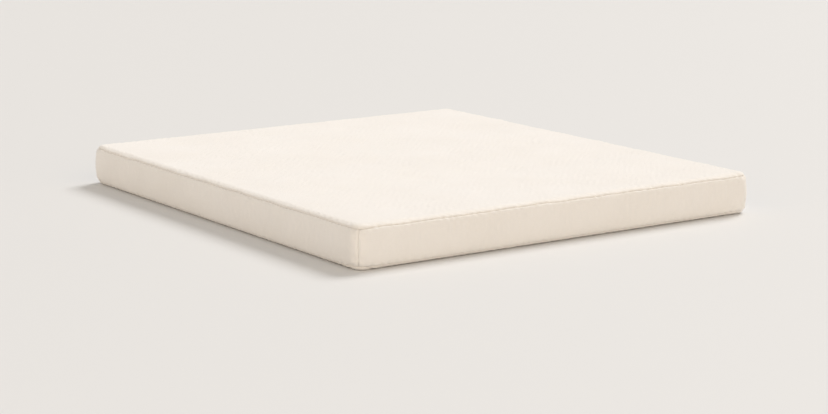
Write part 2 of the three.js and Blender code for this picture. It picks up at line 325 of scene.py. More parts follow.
def cloth_finish(name, light, deep, pitch, twill=0.0, bump=0.25, roughness=0.86, sheen=0.12):
    material, tree, shader = principled(name)
    place = node(tree, "ShaderNodeAttribute", {"attribute_name": CLOTH_ATTRIBUTE}).outputs["Vector"]
    flat = stretched(tree, place, (1, 1, 0))
    weave = node(tree, "ShaderNodeGroup", {"node_tree": WEAVE}, Vector=flat, Pitch=pitch, Twill=twill)
    seam = node(tree, "ShaderNodeSeparateXYZ", Vector=place).outputs["Z"]
    # painted shade: the colour deepens within 4 mm of a seam, for the shade that falls in its creases
    painted_seam_shade = ramp(tree, seam, 0.0, 0.004, 1.0, 0.0)
    slub = ramp(tree, weave.outputs["Slub"], 0.35, 0.65)
    cloud = ramp(tree, weave.outputs["Clouds"], 0.3, 0.7)
    shade = weighted_sum(tree, (slub, SLUB_SHADE), (cloud, CLOUD_SHADE), (painted_seam_shade, PAINTED_SEAM_SHADE_SHARE))
    put(tree, shader.inputs["Base Color"], mix_color(tree, shade, light, deep))
    rough = ramp(tree, weave.outputs["Slub"], 0.3, 0.7, roughness - 0.05, roughness + 0.05)
    put(tree, shader.inputs["Roughness"], rough)
    shader.inputs["Sheen Weight"].default_value = sheen
    shader.inputs["Sheen Roughness"].default_value = 0.5
    shader.inputs["Specular IOR Level"].default_value = 0.25
    relief = node(tree, "ShaderNodeBump", Height=weave.outputs["Height"], Strength=bump, Distance=pitch)
    put(tree, shader.inputs["Normal"], relief.outputs["Normal"])
    return material


COVER_CLOTH = cloth_finish(
    "cover twill", (0.905, 0.886, 0.868, 1), (0.85, 0.816, 0.776, 1), 0.00055, twill=1.0
)
print("finishes so far:", [material.name for material in bpy.data.materials])

# %% [markdown]
# ## The cover
#
# The cover could be voxel-remeshed from a box, but then no edge of the mesh would run along a seam.
# So it is laid out as a tailor would: a grid of lines for the top and the bottom, and a band of
# lines round the side, which share the ring where they meet. A seam is then a line of the mesh, and
# the four corner seams are where the band's sides meet, in the middle of each corner.
#
# First the plan: one side's points, from the middle of one corner to the middle of the next.

# %% plan of the cover
CELL = 0.0135
ARC_STEPS = 3
STRAIGHT_X = round(2 * (HALF_WIDTH - CORNER_RADIUS) / CELL)
STRAIGHT_Y = round(2 * (HALF_LENGTH - CORNER_RADIUS) / CELL)
SIDE_STEPS = [STRAIGHT_X + 2 * ARC_STEPS, STRAIGHT_Y + 2 * ARC_STEPS] * 2
RING = sum(SIDE_STEPS)
CORNERS = [0, *np.cumsum(SIDE_STEPS).tolist()]


def side_points(half_along, half_out, straight, inset):
    radius = CORNER_RADIUS - inset
    along, out = half_along - CORNER_RADIUS, half_out - CORNER_RADIUS
    angles = np.linspace(math.pi / 4, 0, ARC_STEPS + 1)[:-1]
    start = np.stack([-along - radius * np.sin(angles), -out - radius * np.cos(angles)], 1)
    middle = np.linspace(-along, along, straight + 1)
    middle = np.stack([middle, np.full(straight + 1, -out - radius)], 1)
    end = start[::-1] * (-1, 1)
    return np.concatenate([start, middle, end])


def four_sides(inset):
    foot = side_points(HALF_WIDTH, HALF_LENGTH, STRAIGHT_X, inset)
    side = side_points(HALF_LENGTH, HALF_WIDTH, STRAIGHT_Y, inset)
    right = np.stack([-side[:, 1], side[:, 0]], 1)
    return foot, right, -foot, -right


def plan_ring(inset):
    return np.concatenate([side[:-1] for side in four_sides(inset)])


print("ring of", RING, "points, corners at", CORNERS)

# %% [markdown]
# The grid fills the ring. Each of its lines runs from a point on one side to the matching point on
# the opposite side, and bends near the corners just enough to follow the round. This is a Coons
# patch: the two ways of spanning the ring are added, and the flat sheet through its four corners is
# taken away once.

# %% grid inside a ring
def spanned_grid(inset):
    foot, right, head, left = four_sides(inset)
    head, left = head[::-1], left[::-1]
    u = ((foot[:, 0] - foot[0, 0]) / (foot[-1, 0] - foot[0, 0]))[:, None, None]
    v = ((right[:, 1] - right[0, 1]) / (right[-1, 1] - right[0, 1]))[None, :, None]
    lengthways = (1 - v) * foot[:, None] + v * head[:, None]
    crossways = (1 - u) * left[None] + u * right[None]
    near = (1 - u) * foot[0] + u * foot[-1]
    far = (1 - u) * head[0] + u * head[-1]
    return lengthways + crossways - (1 - v) * near - v * far


def ring_of(grid):
    """The outer points of a grid, in the order of the plan ring."""
    return np.concatenate([grid[:-1, 0], grid[-1, :-1], grid[:0:-1, -1], grid[0, :0:-1]])


flat_grid = spanned_grid(EDGE_RADIUS)
print("grid", flat_grid.shape[:2])

# %% [markdown]
# The band runs down the side: round the upper edge, down the straight side, and round the lower
# edge. One row lies exactly on each seam.

# %% rows of the side band
SIDE_ROWS = 9
SEAM_ROW = 3
ROUND_ANGLES = [*np.linspace(math.pi / 2, SEAM_ANGLE, SEAM_ROW + 1), SEAM_ANGLE / 2, 0.0]


def band_rows():
    upper = [
        (EDGE_RADIUS * (1 - math.cos(angle)), THICKNESS - EDGE_RADIUS * (1 - math.sin(angle)))
        for angle in ROUND_ANGLES
    ]
    straight = np.linspace(THICKNESS - EDGE_RADIUS, EDGE_RADIUS, SIDE_ROWS + 1)[1:-1]
    lower = [(inset, THICKNESS - height) for inset, height in reversed(upper)]
    return upper + [(0.0, height) for height in straight] + lower


ROWS = band_rows()
LAST_ROW = len(ROWS) - 1
LOWER_SEAM_ROW = LAST_ROW - SEAM_ROW
SEAM_HEIGHT = ROWS[SEAM_ROW][1]
print(len(ROWS), "rows, seams at", round(SEAM_HEIGHT, 4), "and", round(ROWS[LOWER_SEAM_ROW][1], 4))

# %% [markdown]
# ### What the filling does to the shape
#
# The ties pull the stack in at twenty places, and the wadding swells between them. The cover lies
# over that, so its top carries very shallow hollows over the ties and a slow, uneven crown. The
# places come from the frame. The unevenness is a sum of waves with seeded phases, because a real
# stack is laid by hand and is never level.

# %% shape of the filling under the cover
TIES = [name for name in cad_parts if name.startswith("tufting_tie")]
TIE_PLACES = np.array([[(low + high) / 2 for low, high in zip(*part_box(name))][:2] for name in TIES])
TIE_PITCH = 0.4
CROWN = 0.0016
TIE_HOLLOW = 0.0020
TIE_SPREAD = 0.05
EDGE_FADE = 0.22
SLOW_HEIGHT = 0.0009
SLOW_SIZES = (1.4, 0.5, 5)


def waves(position, longest, shortest, count, seed):
    """Smooth unevenness along a line, about 1 high, from waves of seeded length and phase."""
    random = np.random.default_rng(seed)
    total = np.zeros_like(position)
    for _ in range(count):
        length = random.uniform(shortest, longest)
        phase = random.uniform(0, 2 * math.pi)
        total += np.cos(2 * math.pi * position / length + phase)
    return total / math.sqrt(count / 2)


def smooth(value):
    value = np.clip(value, 0, 1)
    return value * value * (3 - 2 * value)


def filling_lift(x, y):
    inside = np.minimum(HALF_WIDTH - np.abs(x), HALF_LENGTH - np.abs(y)) - EDGE_RADIUS
    swell = np.cos(2 * math.pi * x / TIE_PITCH) - np.cos(2 * math.pi * y / TIE_PITCH)
    lift = CROWN * swell / 2
    slow = waves(x + 0.35 * y, *SLOW_SIZES, 11) + waves(y - 0.3 * x, *SLOW_SIZES, 12)
    lift = lift + SLOW_HEIGHT * slow
    for place in TIE_PLACES:
        distance = np.hypot(x - place[0], y - place[1])
        lift = lift - TIE_HOLLOW * np.exp(-((distance / TIE_SPREAD) ** 2))
    return lift * smooth(inside / EDGE_FADE)


print("ties", len(TIES), "lift over a tie", round(float(filling_lift(*TIE_PLACES[0])), 4))

# %% [markdown]
# The side swells between its two seams. At the head end the zip keeps the middle of the border
# straight, so there it swells twice, above the zip and below it. The seams wander by about a
# millimetre, as sewn seams do.

# %% the cover before the cloth settles
SIDE_SWELL = 0.0042
HEAD_SWELL = 0.0018
SEAM_HOLD = 0.02
SEAM_WANDER = 0.0009
ZIP_HEIGHT = THICKNESS / 2
head_side = np.zeros(RING, bool)
head_side[CORNERS[2] : CORNERS[3]] = True


def ring_lengths(points):
    steps = np.linalg.norm(np.roll(points, -1, 0) - points, axis=1)
    return np.concatenate([[0], np.cumsum(steps)[:-1]]), steps.sum()


outline = plan_ring(0.0)
along_ring, perimeter = ring_lengths(outline)


def periodic_waves(position, fewest, most, seed):
    """Unevenness that closes on itself after one turn round the cover."""
    random = np.random.default_rng(seed)
    total = np.zeros_like(position)
    for turns in range(fewest, most, max(1, (most - fewest) // 16)):
        total += np.cos(2 * math.pi * turns * position / perimeter + random.uniform(0, 2 * math.pi))
    return total / 3


def band_shape():
    """Rows of points from the top ring down to the bottom ring."""
    span = SEAM_HEIGHT - (THICKNESS - SEAM_HEIGHT)
    slow = 1 + 0.3 * periodic_waves(along_ring, 3, 26, 21)
    wander = SEAM_WANDER * periodic_waves(along_ring, 5, 60, 22)
    rows = []
    for index, (inset, height) in enumerate(ROWS):
        ring = plan_ring(inset)
        outward = outline - plan_ring(EDGE_RADIUS)
        outward /= np.linalg.norm(outward, axis=1)[:, None]
        share = min(max((height - THICKNESS + SEAM_HEIGHT) / span, 0), 1)
        plain = SIDE_SWELL * math.sin(math.pi * share) * slow
        double = HEAD_SWELL * math.sin(2 * math.pi * share) ** 2 * slow
        swell = np.where(head_side, double, plain)
        near_seam = math.exp(-(((height - SEAM_HEIGHT) / SEAM_HOLD) ** 2))
        lifted = height + wander * near_seam
        rows.append(np.column_stack([ring + outward * swell[:, None], lifted]))
    return np.stack(rows, 1)


def with_height(grid, height):
    return np.concatenate([grid, np.broadcast_to(height, grid.shape[:2])[..., None]], 2)


band = band_shape()
top = with_height(flat_grid, THICKNESS + filling_lift(flat_grid[..., 0], flat_grid[..., 1]))
bottom = with_height(flat_grid, 0.0)
print("points:", top.shape[0] * top.shape[1] * 2 + RING * (LAST_ROW - 1))

# %% [markdown]
# ### Letting the cloth settle
#
# Now the cover is one closed cloth. A cloth simulation gives it what no formula does: the gathers
# along the seams and the faint creases where there is more cloth than filling. Three things work on
# it. A light pressure stands for the filling that pushes out. The threads of each seam are a little
# shorter than the cloth that they hold, which is set with a shrink group. And every point is tied
# softly to the filling underneath, with a hold group, so that the cover can't blow up like a bag.
# Gravity stays off, because the filling carries the cloth. Points that lie on the floor, and the
# line of the zip, are held fast.

# %% one closed cloth
def grid_faces(numbers):
    a, b = numbers[:-1, :-1], numbers[1:, :-1]
    c, d = numbers[1:, 1:], numbers[:-1, 1:]
    return np.stack([a, b, c, d], -1).reshape(-1, 4)


def band_faces(numbers):
    """Faces between the rows of a band whose columns close on themselves."""
    a, b = numbers[:, :-1], numbers[:, 1:]
    c, d = np.roll(b, -1, 0), np.roll(a, -1, 0)
    return np.stack([a, b, c, d], -1).reshape(-1, 4)


def mesh_object(name, points, faces, material=None, smooth_faces=True):
    mesh = bpy.data.meshes.new(name)
    mesh.from_pydata(np.asarray(points).tolist(), [], np.asarray(faces).tolist())
    mesh.update()
    mesh.polygons.foreach_set("use_smooth", [smooth_faces] * len(mesh.polygons))
    if material is not None:
        mesh.materials.append(material)
    return new_object(name, mesh)


grid_count = top.shape[0] * top.shape[1]
top_numbers = np.arange(grid_count).reshape(top.shape[:2])
bottom_numbers = top_numbers + grid_count
inner_numbers = 2 * grid_count + np.arange(RING * (LAST_ROW - 1)).reshape(RING, LAST_ROW - 1)
band_numbers = np.column_stack([ring_of(top_numbers), inner_numbers, ring_of(bottom_numbers)])


def settle(top, band, bottom):
    points = np.concatenate([top.reshape(-1, 3), bottom.reshape(-1, 3), band[:, 1:-1].reshape(-1, 3)])
    faces = np.concatenate(
        [grid_faces(top_numbers), grid_faces(bottom_numbers)[:, ::-1], band_faces(band_numbers)]
    )
    bag = mesh_object("bag", points, faces)
    hold = np.full(len(points), HOLD)
    hold[bottom_numbers.ravel()] = 1.0
    on_zip = np.abs(np.array([height for _, height in ROWS]) - ZIP_HEIGHT) < ZIP_HOLD
    hold[band_numbers[head_side][:, on_zip].ravel()] = 1.0
    groups = {name: bag.vertex_groups.new(name=name) for name in ("hold", "shrink")}
    for weight in np.unique(hold):
        groups["hold"].add(np.nonzero(hold == weight)[0].tolist(), float(weight), "REPLACE")
    sewn = [band_numbers[:, SEAM_ROW], band_numbers[:, LOWER_SEAM_ROW]]
    sewn += [band_numbers[corner, SEAM_ROW : LOWER_SEAM_ROW + 1] for corner in CORNERS[:4]]
    groups["shrink"].add(np.concatenate(sewn).tolist(), 1.0, "REPLACE")
    modifier = bag.modifiers.new("cloth", "CLOTH")
    cloth = modifier.settings
    cloth.quality = 4
    cloth.mass = 0.3
    cloth.tension_stiffness = cloth.compression_stiffness = 40
    cloth.shear_stiffness = 15
    cloth.bending_stiffness = 2.0
    cloth.use_pressure = True
    cloth.uniform_pressure_force = PRESSURE
    cloth.vertex_group_mass = "hold"
    cloth.pin_stiffness = HOLD_STIFFNESS
    cloth.vertex_group_shrink = "shrink"
    cloth.shrink_min = -SLACK
    cloth.shrink_max = SEAM_SHRINK
    cloth.effector_weights.gravity = 0
    modifier.collision_settings.use_collision = False
    modifier.point_cache.frame_end = SIM_FRAMES
    for step in range(1, SIM_FRAMES + 1):
        bpy.context.scene.frame_set(step)
    settled = bag.evaluated_get(bpy.context.evaluated_depsgraph_get()).data
    moved = np.empty(3 * len(points))
    settled.vertices.foreach_get("co", moved)
    bpy.context.scene.frame_set(1)
    bpy.data.objects.remove(bag)
    return points, moved.reshape(-1, 3)


# %% run the cloth
HOLD = 0.5
HOLD_STIFFNESS = 2.5
ZIP_HOLD = 0.014
PRESSURE = 1.3
SLACK = 0.007
SEAM_SHRINK = 0.045
SIM_FRAMES = 22
MOST_MOVE = 0.009


def capped(points, moved):
    """The settled points, with no point further than the cap from where it began."""
    shift = moved - points
    far = np.linalg.norm(shift, axis=1)[:, None]
    shift *= MOST_MOVE * np.tanh(far / MOST_MOVE) / np.maximum(far, 1e-9)
    result = points + shift
    result[:, 2] = np.maximum(result[:, 2], 0)
    return result


points, moved = settle(top, band, bottom)
print("cloth moved at most", round(1000 * float(np.linalg.norm(moved - points, axis=1).max()), 1), "mm")
points = capped(points, moved)
top = points[top_numbers]
bottom = points[bottom_numbers]
band = points[band_numbers]

# %% [markdown]
# ### Finer lines along the seams
#
# The settled cloth is smooth enough to be read between its points, so the final panels are sampled
# from it on a finer set of lines: half a cell apart, and closer beside each seam, where the cloth
# turns inward within a few millimetres. A cubic through four neighbours keeps the surface round.

# %% sampling between the lines
def cubic(values, places, closed=False):
    """Values along the first axis at in-between places, by a cubic through four neighbours."""
    count = len(values)
    whole = np.floor(places).astype(int)
    if not closed:
        whole = np.clip(whole, 0, count - 2)
    part = (places - whole).reshape(-1, *[1] * (values.ndim - 1))
    weights = [
        -0.5 * part**3 + part**2 - 0.5 * part,
        1.5 * part**3 - 2.5 * part**2 + 1,
        -1.5 * part**3 + 2 * part**2 + 0.5 * part,
        0.5 * part**3 - 0.5 * part**2,
    ]
    total = 0
    for offset, weight in zip(range(-1, 3), weights):
        spot = whole + offset
        spot = spot % count if closed else np.clip(spot, 0, count - 1)
        total = total + weight * values[spot]
    return total


SEAM_LINES = [0.0, 0.1, 0.22, 0.4, 0.7, 1.0]


def lines_between(start, end, step=0.5):
    """Places from one seam to the next, closer together at both."""
    first = [start + line for line in SEAM_LINES]
    last = [end - line for line in reversed(SEAM_LINES)]
    count = round((last[0] - first[-1]) / step)
    return np.concatenate([first, np.linspace(first[-1], last[0], count + 1)[1:-1], last])


x_lines = lines_between(0, SIDE_STEPS[0])
y_lines = lines_between(0, SIDE_STEPS[1])
ring_lines = np.concatenate([corner + lines[:-1] for corner, lines in zip(CORNERS, [x_lines, y_lines] * 2)])
SIDE_LINES = [len(x_lines) - 1, len(y_lines) - 1] * 2
FINE_CORNERS = [0, *np.cumsum(SIDE_LINES).tolist()]

print("fine ring of", len(ring_lines), "points")

# %% [markdown]
# The rows are chosen the same way. The head border also needs lines beside the slit of the zip,
# which is a little taller than the coils that show in it.

# %% fine rows
SLIT_MARGIN = 0.0004
SLIT_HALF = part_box("zip_coil_upper")[1][2] - ZIP_HEIGHT + SLIT_MARGIN
SLIT_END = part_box("zip_top_stop_upper")[1][0] + 0.004
ROW_PITCH = (THICKNESS - 2 * EDGE_RADIUS) / SIDE_ROWS
ZIP_ROW = LAST_ROW / 2
SLIT_ROWS = SLIT_HALF / ROW_PITCH

panel_rows = np.concatenate([np.arange(0, SEAM_ROW - 1, 0.5), SEAM_ROW - np.array(SEAM_LINES[::-1])])
upper_rows = lines_between(SEAM_ROW, ZIP_ROW - SLIT_ROWS)
lower_rows = lines_between(ZIP_ROW + SLIT_ROWS, LOWER_SEAM_ROW)
fine_rows = np.concatenate(
    [panel_rows[:-1], upper_rows, [ZIP_ROW], lower_rows, LAST_ROW - panel_rows[-2::-1]]
)
SEAM_LINE = len(panel_rows) - 1
SLIT_TOP_LINE = SEAM_LINE + len(upper_rows) - 1
ZIP_LINE = SLIT_TOP_LINE + 1
SLIT_BOTTOM_LINE = ZIP_LINE + 1
LOWER_SEAM_LINE = SLIT_BOTTOM_LINE + len(lower_rows) - 1
print(len(fine_rows), "rows; seams", SEAM_LINE, LOWER_SEAM_LINE, "slit", SLIT_TOP_LINE, SLIT_BOTTOM_LINE)

# %% sample the settled cloth
def refined_band(rows):
    return cubic(cubic(rows, ring_lines, closed=True).swapaxes(0, 1), fine_rows).swapaxes(0, 1)


def refined_grid(grid, ring):
    fine = cubic(cubic(grid, x_lines).swapaxes(0, 1), y_lines).swapaxes(0, 1)
    across, along = fine.shape[0] - 1, fine.shape[1] - 1
    fine[:-1, 0] = ring[:across]
    fine[-1, :-1] = ring[across : across + along]
    fine[:0:-1, -1] = ring[across + along : 2 * across + along]
    fine[0, :0:-1] = ring[2 * across + along :]
    return fine


fine_band = refined_band(band)
plain_band = refined_band(band_shape())
fine_top = refined_grid(top, fine_band[:, 0])
fine_bottom = refined_grid(bottom, fine_band[:, -1])
print("top grid", fine_top.shape[:2], "band", fine_band.shape[:2])

# %% [markdown]
# ### Seams
#
# A plain seam is two edges turned inward and stitched. From outside it is a fine valley, with a low
# ridge on both sides where the turned edges lie under the cloth, and small puckers that the thread
# pulls up and that fade within two or three centimetres. All of that is a height along the
# surface's normal, worked out from the distance to the seam and the place along it.

# %% seam relief
VALLEY_DEPTH = 0.0026
VALLEY_HALF = 0.0019
RIDGE_HEIGHT = 0.0007
RIDGE_PLACE = 0.0062
RIDGE_HALF = 0.0026
PUCKER_HEIGHT = 0.0011
PUCKER_FADE = 0.012
PUCKER_REACH = 0.027


def seam_relief(distance):
    valley = -VALLEY_DEPTH * np.exp(-((distance / VALLEY_HALF) ** 2))
    ridge = RIDGE_HEIGHT * np.exp(-(((distance - RIDGE_PLACE) / RIDGE_HALF) ** 2))
    return valley + ridge


def puckers(distance, pull):
    return PUCKER_HEIGHT * pull * np.exp(-distance / PUCKER_FADE) * smooth(1 - distance / PUCKER_REACH)


def band_normals(points):
    down = np.gradient(points, axis=1)
    round_about = (np.roll(points, -1, 0) - np.roll(points, 1, 0)) / 2
    normal = np.cross(down, round_about)
    return normal / np.linalg.norm(normal, axis=2)[..., None]


row_steps = np.linalg.norm(np.diff(plain_band, axis=1), axis=2)
down_length = np.concatenate([np.zeros((len(plain_band), 1)), np.cumsum(row_steps, 1)], 1)
fine_outline = cubic(outline, ring_lines, closed=True)
fine_along, _ = ring_lengths(fine_outline)
pull = [periodic_waves(fine_along, 150, 330, seed)[:, None] for seed in (31, 32)]

relief = np.zeros(fine_band.shape[:2])
for line, waves_here in zip((SEAM_LINE, LOWER_SEAM_LINE), pull):
    away = np.abs(down_length - down_length[:, line : line + 1])
    relief += seam_relief(away) + puckers(away, waves_here)

# %% [markdown]
# The four corner seams run only down the border. Where the head border closes past the ends of the
# zip, its two strips are sewn to each other, so the same relief runs along that short line. Along
# the slit itself the cloth is folded back over the tape, which is a smaller, rounder edge.

# %% corner seams and the slit's folds
DEEPEST = 0.0031
FOLD_DEPTH = 0.0007
FOLD_HALF = 0.0011
line_height = fine_band[..., 2]
on_border = np.zeros(len(fine_rows))
on_border[SEAM_LINE : LOWER_SEAM_LINE + 1] = 1
for corner in CORNERS[:4]:
    away = np.abs((fine_along - along_ring[corner] + perimeter / 2) % perimeter - perimeter / 2)
    sway = periodic_waves(line_height * perimeter / 0.16, 2, 7, 40 + corner)
    relief += (seam_relief(away)[:, None] + puckers(away[:, None], sway)) * on_border

fine_head = np.zeros(len(ring_lines), bool)
fine_head[FINE_CORNERS[2] : FINE_CORNERS[3] + 1] = True
beside_zip = np.abs(fine_outline[:, 0]) < SLIT_END
slit = fine_head & beside_zip
from_zip = np.abs(down_length - down_length[:, ZIP_LINE : ZIP_LINE + 1])
closed_end = (fine_head & ~beside_zip)[:, None]
relief += np.where(closed_end, seam_relief(from_zip), 0)
from_fold = np.abs(from_zip - SLIT_HALF)
relief -= np.where(slit[:, None], FOLD_DEPTH * np.exp(-((from_fold / FOLD_HALF) ** 2)), 0)

relief = np.maximum(relief, -DEEPEST)
fine_band = fine_band + band_normals(fine_band) * relief[..., None]
fine_band[..., 2] = np.maximum(fine_band[..., 2], 0)
fine_band[:, -1] = ring_of(fine_bottom)
print("relief from", round(1000 * float(relief.min()), 2), "to", round(1000 * float(relief.max()), 2), "mm")

# %% [markdown]
# ### Flat coordinates of the cloth
#
# The weave needs to know where each point lay on the flat cloth. On the top and the bottom that is
# its place in the plan, carried on over the round by its length. On the border it is the length
# round the cover and the length down. The third number is the distance to the nearest seam.

# %% flat coordinates
SEAM_OVERHANG = EDGE_RADIUS * (math.pi / 2 - SEAM_ANGLE)
outward = fine_outline - cubic(plan_ring(EDGE_RADIUS), ring_lines, closed=True)
outward /= np.linalg.norm(outward, axis=1)[:, None]


def grid_cloth(grid):
    x, y = grid[..., 0], grid[..., 1]
    inside = np.minimum(HALF_WIDTH - np.abs(x), HALF_LENGTH - np.abs(y)) - EDGE_RADIUS
    return np.stack([x, y, np.maximum(inside, 0) + SEAM_OVERHANG], -1)


def turned_cloth(start, lengths, seam):
    """Cloth of a panel where it turns over the edge: its plan place carried outward."""
    place = start[:, None, :2] + outward[:, None] * lengths[..., None]
    return np.concatenate([place, np.abs(lengths - seam)[..., None]], 2)


def border_cloth():
    from_upper = np.abs(down_length - down_length[:, SEAM_LINE : SEAM_LINE + 1])
    from_lower = np.abs(down_length - down_length[:, LOWER_SEAM_LINE : LOWER_SEAM_LINE + 1])
    away = np.minimum(from_upper, from_lower)
    around = np.broadcast_to(fine_along[:, None], down_length.shape)
    return np.stack([around, down_length, away], -1)


border_flat = border_cloth()
over_top = down_length[:, : SEAM_LINE + 1]
over_bottom = down_length[:, LOWER_SEAM_LINE:][:, ::-1]
over_bottom = down_length[:, -1:] - over_bottom
top_flat = turned_cloth(ring_of(fine_top), over_top, over_top[:, -1:])
bottom_flat = turned_cloth(ring_of(fine_bottom), over_bottom, over_bottom[:, -1:])

# %% [markdown]
# ### Panels
#
# Each panel becomes a mesh of its own, in the place of the CAD panel that it stands for, and a
# Solidify modifier gives it the thickness of real cloth, inward. Neighbouring panels end on the same
# line at the bottom of the seam's valley, so they meet the way that sewn cloth does.

# %% panel maker
CLOTH_THICKNESS = 0.0011


def set_cloth_attribute(piece, flat):
    layer = piece.data.attributes.new(CLOTH_ATTRIBUTE, "FLOAT_VECTOR", "POINT")
    layer.data.foreach_set("vector", np.asarray(flat, dtype=np.float32).ravel())


def as_cloth(piece, thickness=CLOTH_THICKNESS):
    solid = piece.modifiers.new("thickness", "SOLIDIFY")
    solid.thickness = thickness
    solid.offset = -1
    return piece


def cover_panel(name, points, flat, faces, cad_node):
    piece = mesh_object(name, points, faces, COVER_CLOTH)
    set_cloth_attribute(piece, flat)
    as_cloth(piece)
    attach(piece, MATTRESS)
    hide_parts(cad_node)
    return piece


def numbered(grid, start=0):
    """The number of each point of a grid of places, counted row by row."""
    rows, columns = grid.shape[:2]
    return start + np.arange(rows * columns).reshape(rows, columns)


def face_panel(name, grid, rim, rim_flat, cad_node, upward):
    """The top or the bottom: a grid, and the rim that turns over the edge down to the seam."""
    numbers = numbered(grid)
    rim_numbers = np.column_stack([ring_of(numbers), numbered(rim[:, 1:], numbers.size)])
    faces = np.concatenate([grid_faces(numbers), band_faces(rim_numbers)])
    if not upward:
        faces = faces[:, ::-1]
    points = np.concatenate([grid.reshape(-1, 3), rim[:, 1:].reshape(-1, 3)])
    flat = np.concatenate([grid_cloth(grid).reshape(-1, 3), rim_flat[:, 1:].reshape(-1, 3)])
    return cover_panel(name, points, flat, faces, cad_node)


top_rim = fine_band[:, : SEAM_LINE + 1]
bottom_rim = fine_band[:, LOWER_SEAM_LINE:][:, ::-1]
face_panel("top_panel", fine_top, top_rim, top_flat, "cover_top_panel", True)
face_panel("bottom_panel", fine_bottom, bottom_rim, bottom_flat, "cover_bottom_panel", False)


# %% border panels
def side_columns(side):
    start, end = FINE_CORNERS[side], FINE_CORNERS[side + 1]
    return np.arange(start, end + 1) % len(ring_lines)


def border_panel(name, side, first, last, cad_node, keep):
    columns = side_columns(side)
    points = fine_band[columns, first : last + 1]
    flat = border_flat[columns, first : last + 1].copy()
    flat[-1, :, 0] = np.where(flat[-1, :, 0] < flat[-2, :, 0], perimeter, flat[-1, :, 0])
    numbers = numbered(points)
    faces = grid_faces(numbers)[:, ::-1]
    if keep is not None:
        faces = faces[keep(columns, points.shape[1]).ravel()]
    used = np.unique(faces)
    renumber = np.full(numbers.size, -1)
    renumber[used] = np.arange(len(used))
    return cover_panel(
        name,
        points.reshape(-1, 3)[used],
        flat.reshape(-1, 3)[used],
        renumber[faces],
        cad_node,
    )


def open_along_slit(line):
    """Keeps all faces but those of the last or first row that lie in the zip's slit."""

    def keep(columns, rows):
        in_slit = slit[columns[:-1]] & slit[columns[1:]]
        mask = np.ones((len(columns) - 1, rows - 1), bool)
        mask[in_slit, line] = False
        return mask

    return keep


FOOT, RIGHT, HEAD, LEFT = range(4)

# name, side, first row, last row, and the faces to keep where the zip opens
BORDERS = [
    ("border_foot", FOOT, SEAM_LINE, LOWER_SEAM_LINE, None),
    ("border_right", RIGHT, SEAM_LINE, LOWER_SEAM_LINE, None),
    ("border_left", LEFT, SEAM_LINE, LOWER_SEAM_LINE, None),
    ("border_head_upper", HEAD, SEAM_LINE, ZIP_LINE, open_along_slit(-1)),
    ("border_head_lower", HEAD, ZIP_LINE, LOWER_SEAM_LINE, open_along_slit(0)),
]
for name, side, first, last, keep in BORDERS:
    border_panel(name, side, first, last, "cover_" + name, keep)
print("borders:", [values[0] for values in BORDERS])

# %% [markdown]
# ## The zip
#
# The head border opens with a long zip. Its two woven tapes are flat strips, so the CAD strips stay
# and only take a finish. The teeth are different: they are one nylon wire on each tape, wound into a
# flattened spiral, and the two spirals hook into each other. A row of boxes would never catch the
# light the same way, so each spiral is swept as a wire along its real path.

# %% sweeping a wire
def tube_faces(numbers):
    """Faces round a tube whose rings are the rows of numbers, and one face on each end."""
    a, b = numbers[:-1], numbers[1:]
    around = np.stack([a, b, np.roll(b, -1, 1), np.roll(a, -1, 1)], -1).reshape(-1, 4)
    return around.tolist() + [numbers[0].tolist(), numbers[-1][::-1].tolist()]


def sweep(path, outward_way, width, thickness, sides):
    """Points and faces of a wire or strap along a path; width lies across outward_way."""
    path = np.asarray(path, float)
    tangent = np.gradient(path, axis=0)
    tangent /= np.linalg.norm(tangent, axis=1)[:, None]
    up = np.broadcast_to(outward_way, path.shape).astype(float)
    up = up - tangent * (up * tangent).sum(1)[:, None]
    up /= np.linalg.norm(up, axis=1)[:, None]
    across = np.cross(tangent, up)
    angles = 2 * math.pi * (np.arange(sides) + 0.5) / sides
    wide = np.broadcast_to(width, len(path))[:, None, None] / 2
    thick = np.broadcast_to(thickness, len(path))[:, None, None] / 2
    ring = across[:, None] * np.cos(angles)[None, :, None] * wide
    ring = ring + up[:, None] * np.sin(angles)[None, :, None] * thick
    points = (path[:, None] + ring).reshape(-1, 3)
    return points, tube_faces(np.arange(len(points)).reshape(len(path), sides))


def joined(parts):
    """Several (points, faces) made into one."""
    points, faces, start = [], [], 0
    for some_points, some_faces in parts:
        points.append(some_points)
        faces += [[start + number for number in face] for face in some_faces]
        start += len(some_points)
    return np.concatenate(points), faces


def wire_object(name, points, faces, material):
    mesh = bpy.data.meshes.new(name)
    mesh.from_pydata(points.tolist(), [], faces)
    mesh.update()
    mesh.polygons.foreach_set("use_smooth", [True] * len(mesh.polygons))
    mesh.materials.append(material)
    return new_object(name, mesh)


# %% [markdown]
# Nylon wire is half clear, with a soft shine and tiny draw marks along it. The sewing thread is
# twisted cotton and polyester, so it is rougher, and its twist shows as slanting lines: in the bump,
# and as painted shade in the colour, darker in the grooves of the twist.

# %% finishes of the zip
def object_place(tree):
    return tree.nodes.new("ShaderNodeTexCoord").outputs["Object"]


def nylon_finish(name, light, deep):
    material, tree, shader = principled(name)
    place = object_place(tree)
    mottle = noise(tree, place, 260.0, 3.0, 0.6)
    marks = noise(tree, stretched(tree, place, (60, 4000, 4000)), 1.0, 2.0, 0.5)
    put(tree, shader.inputs["Base Color"], mix_color(tree, mottle, light, deep))
    put(tree, shader.inputs["Roughness"], ramp(tree, marks, 0.3, 0.7, 0.3, 0.46))
    shader.inputs["Specular IOR Level"].default_value = 0.5
    relief = node(tree, "ShaderNodeBump", Height=marks, Strength=0.12, Distance=0.0001)
    put(tree, shader.inputs["Normal"], relief.outputs["Normal"])
    return material


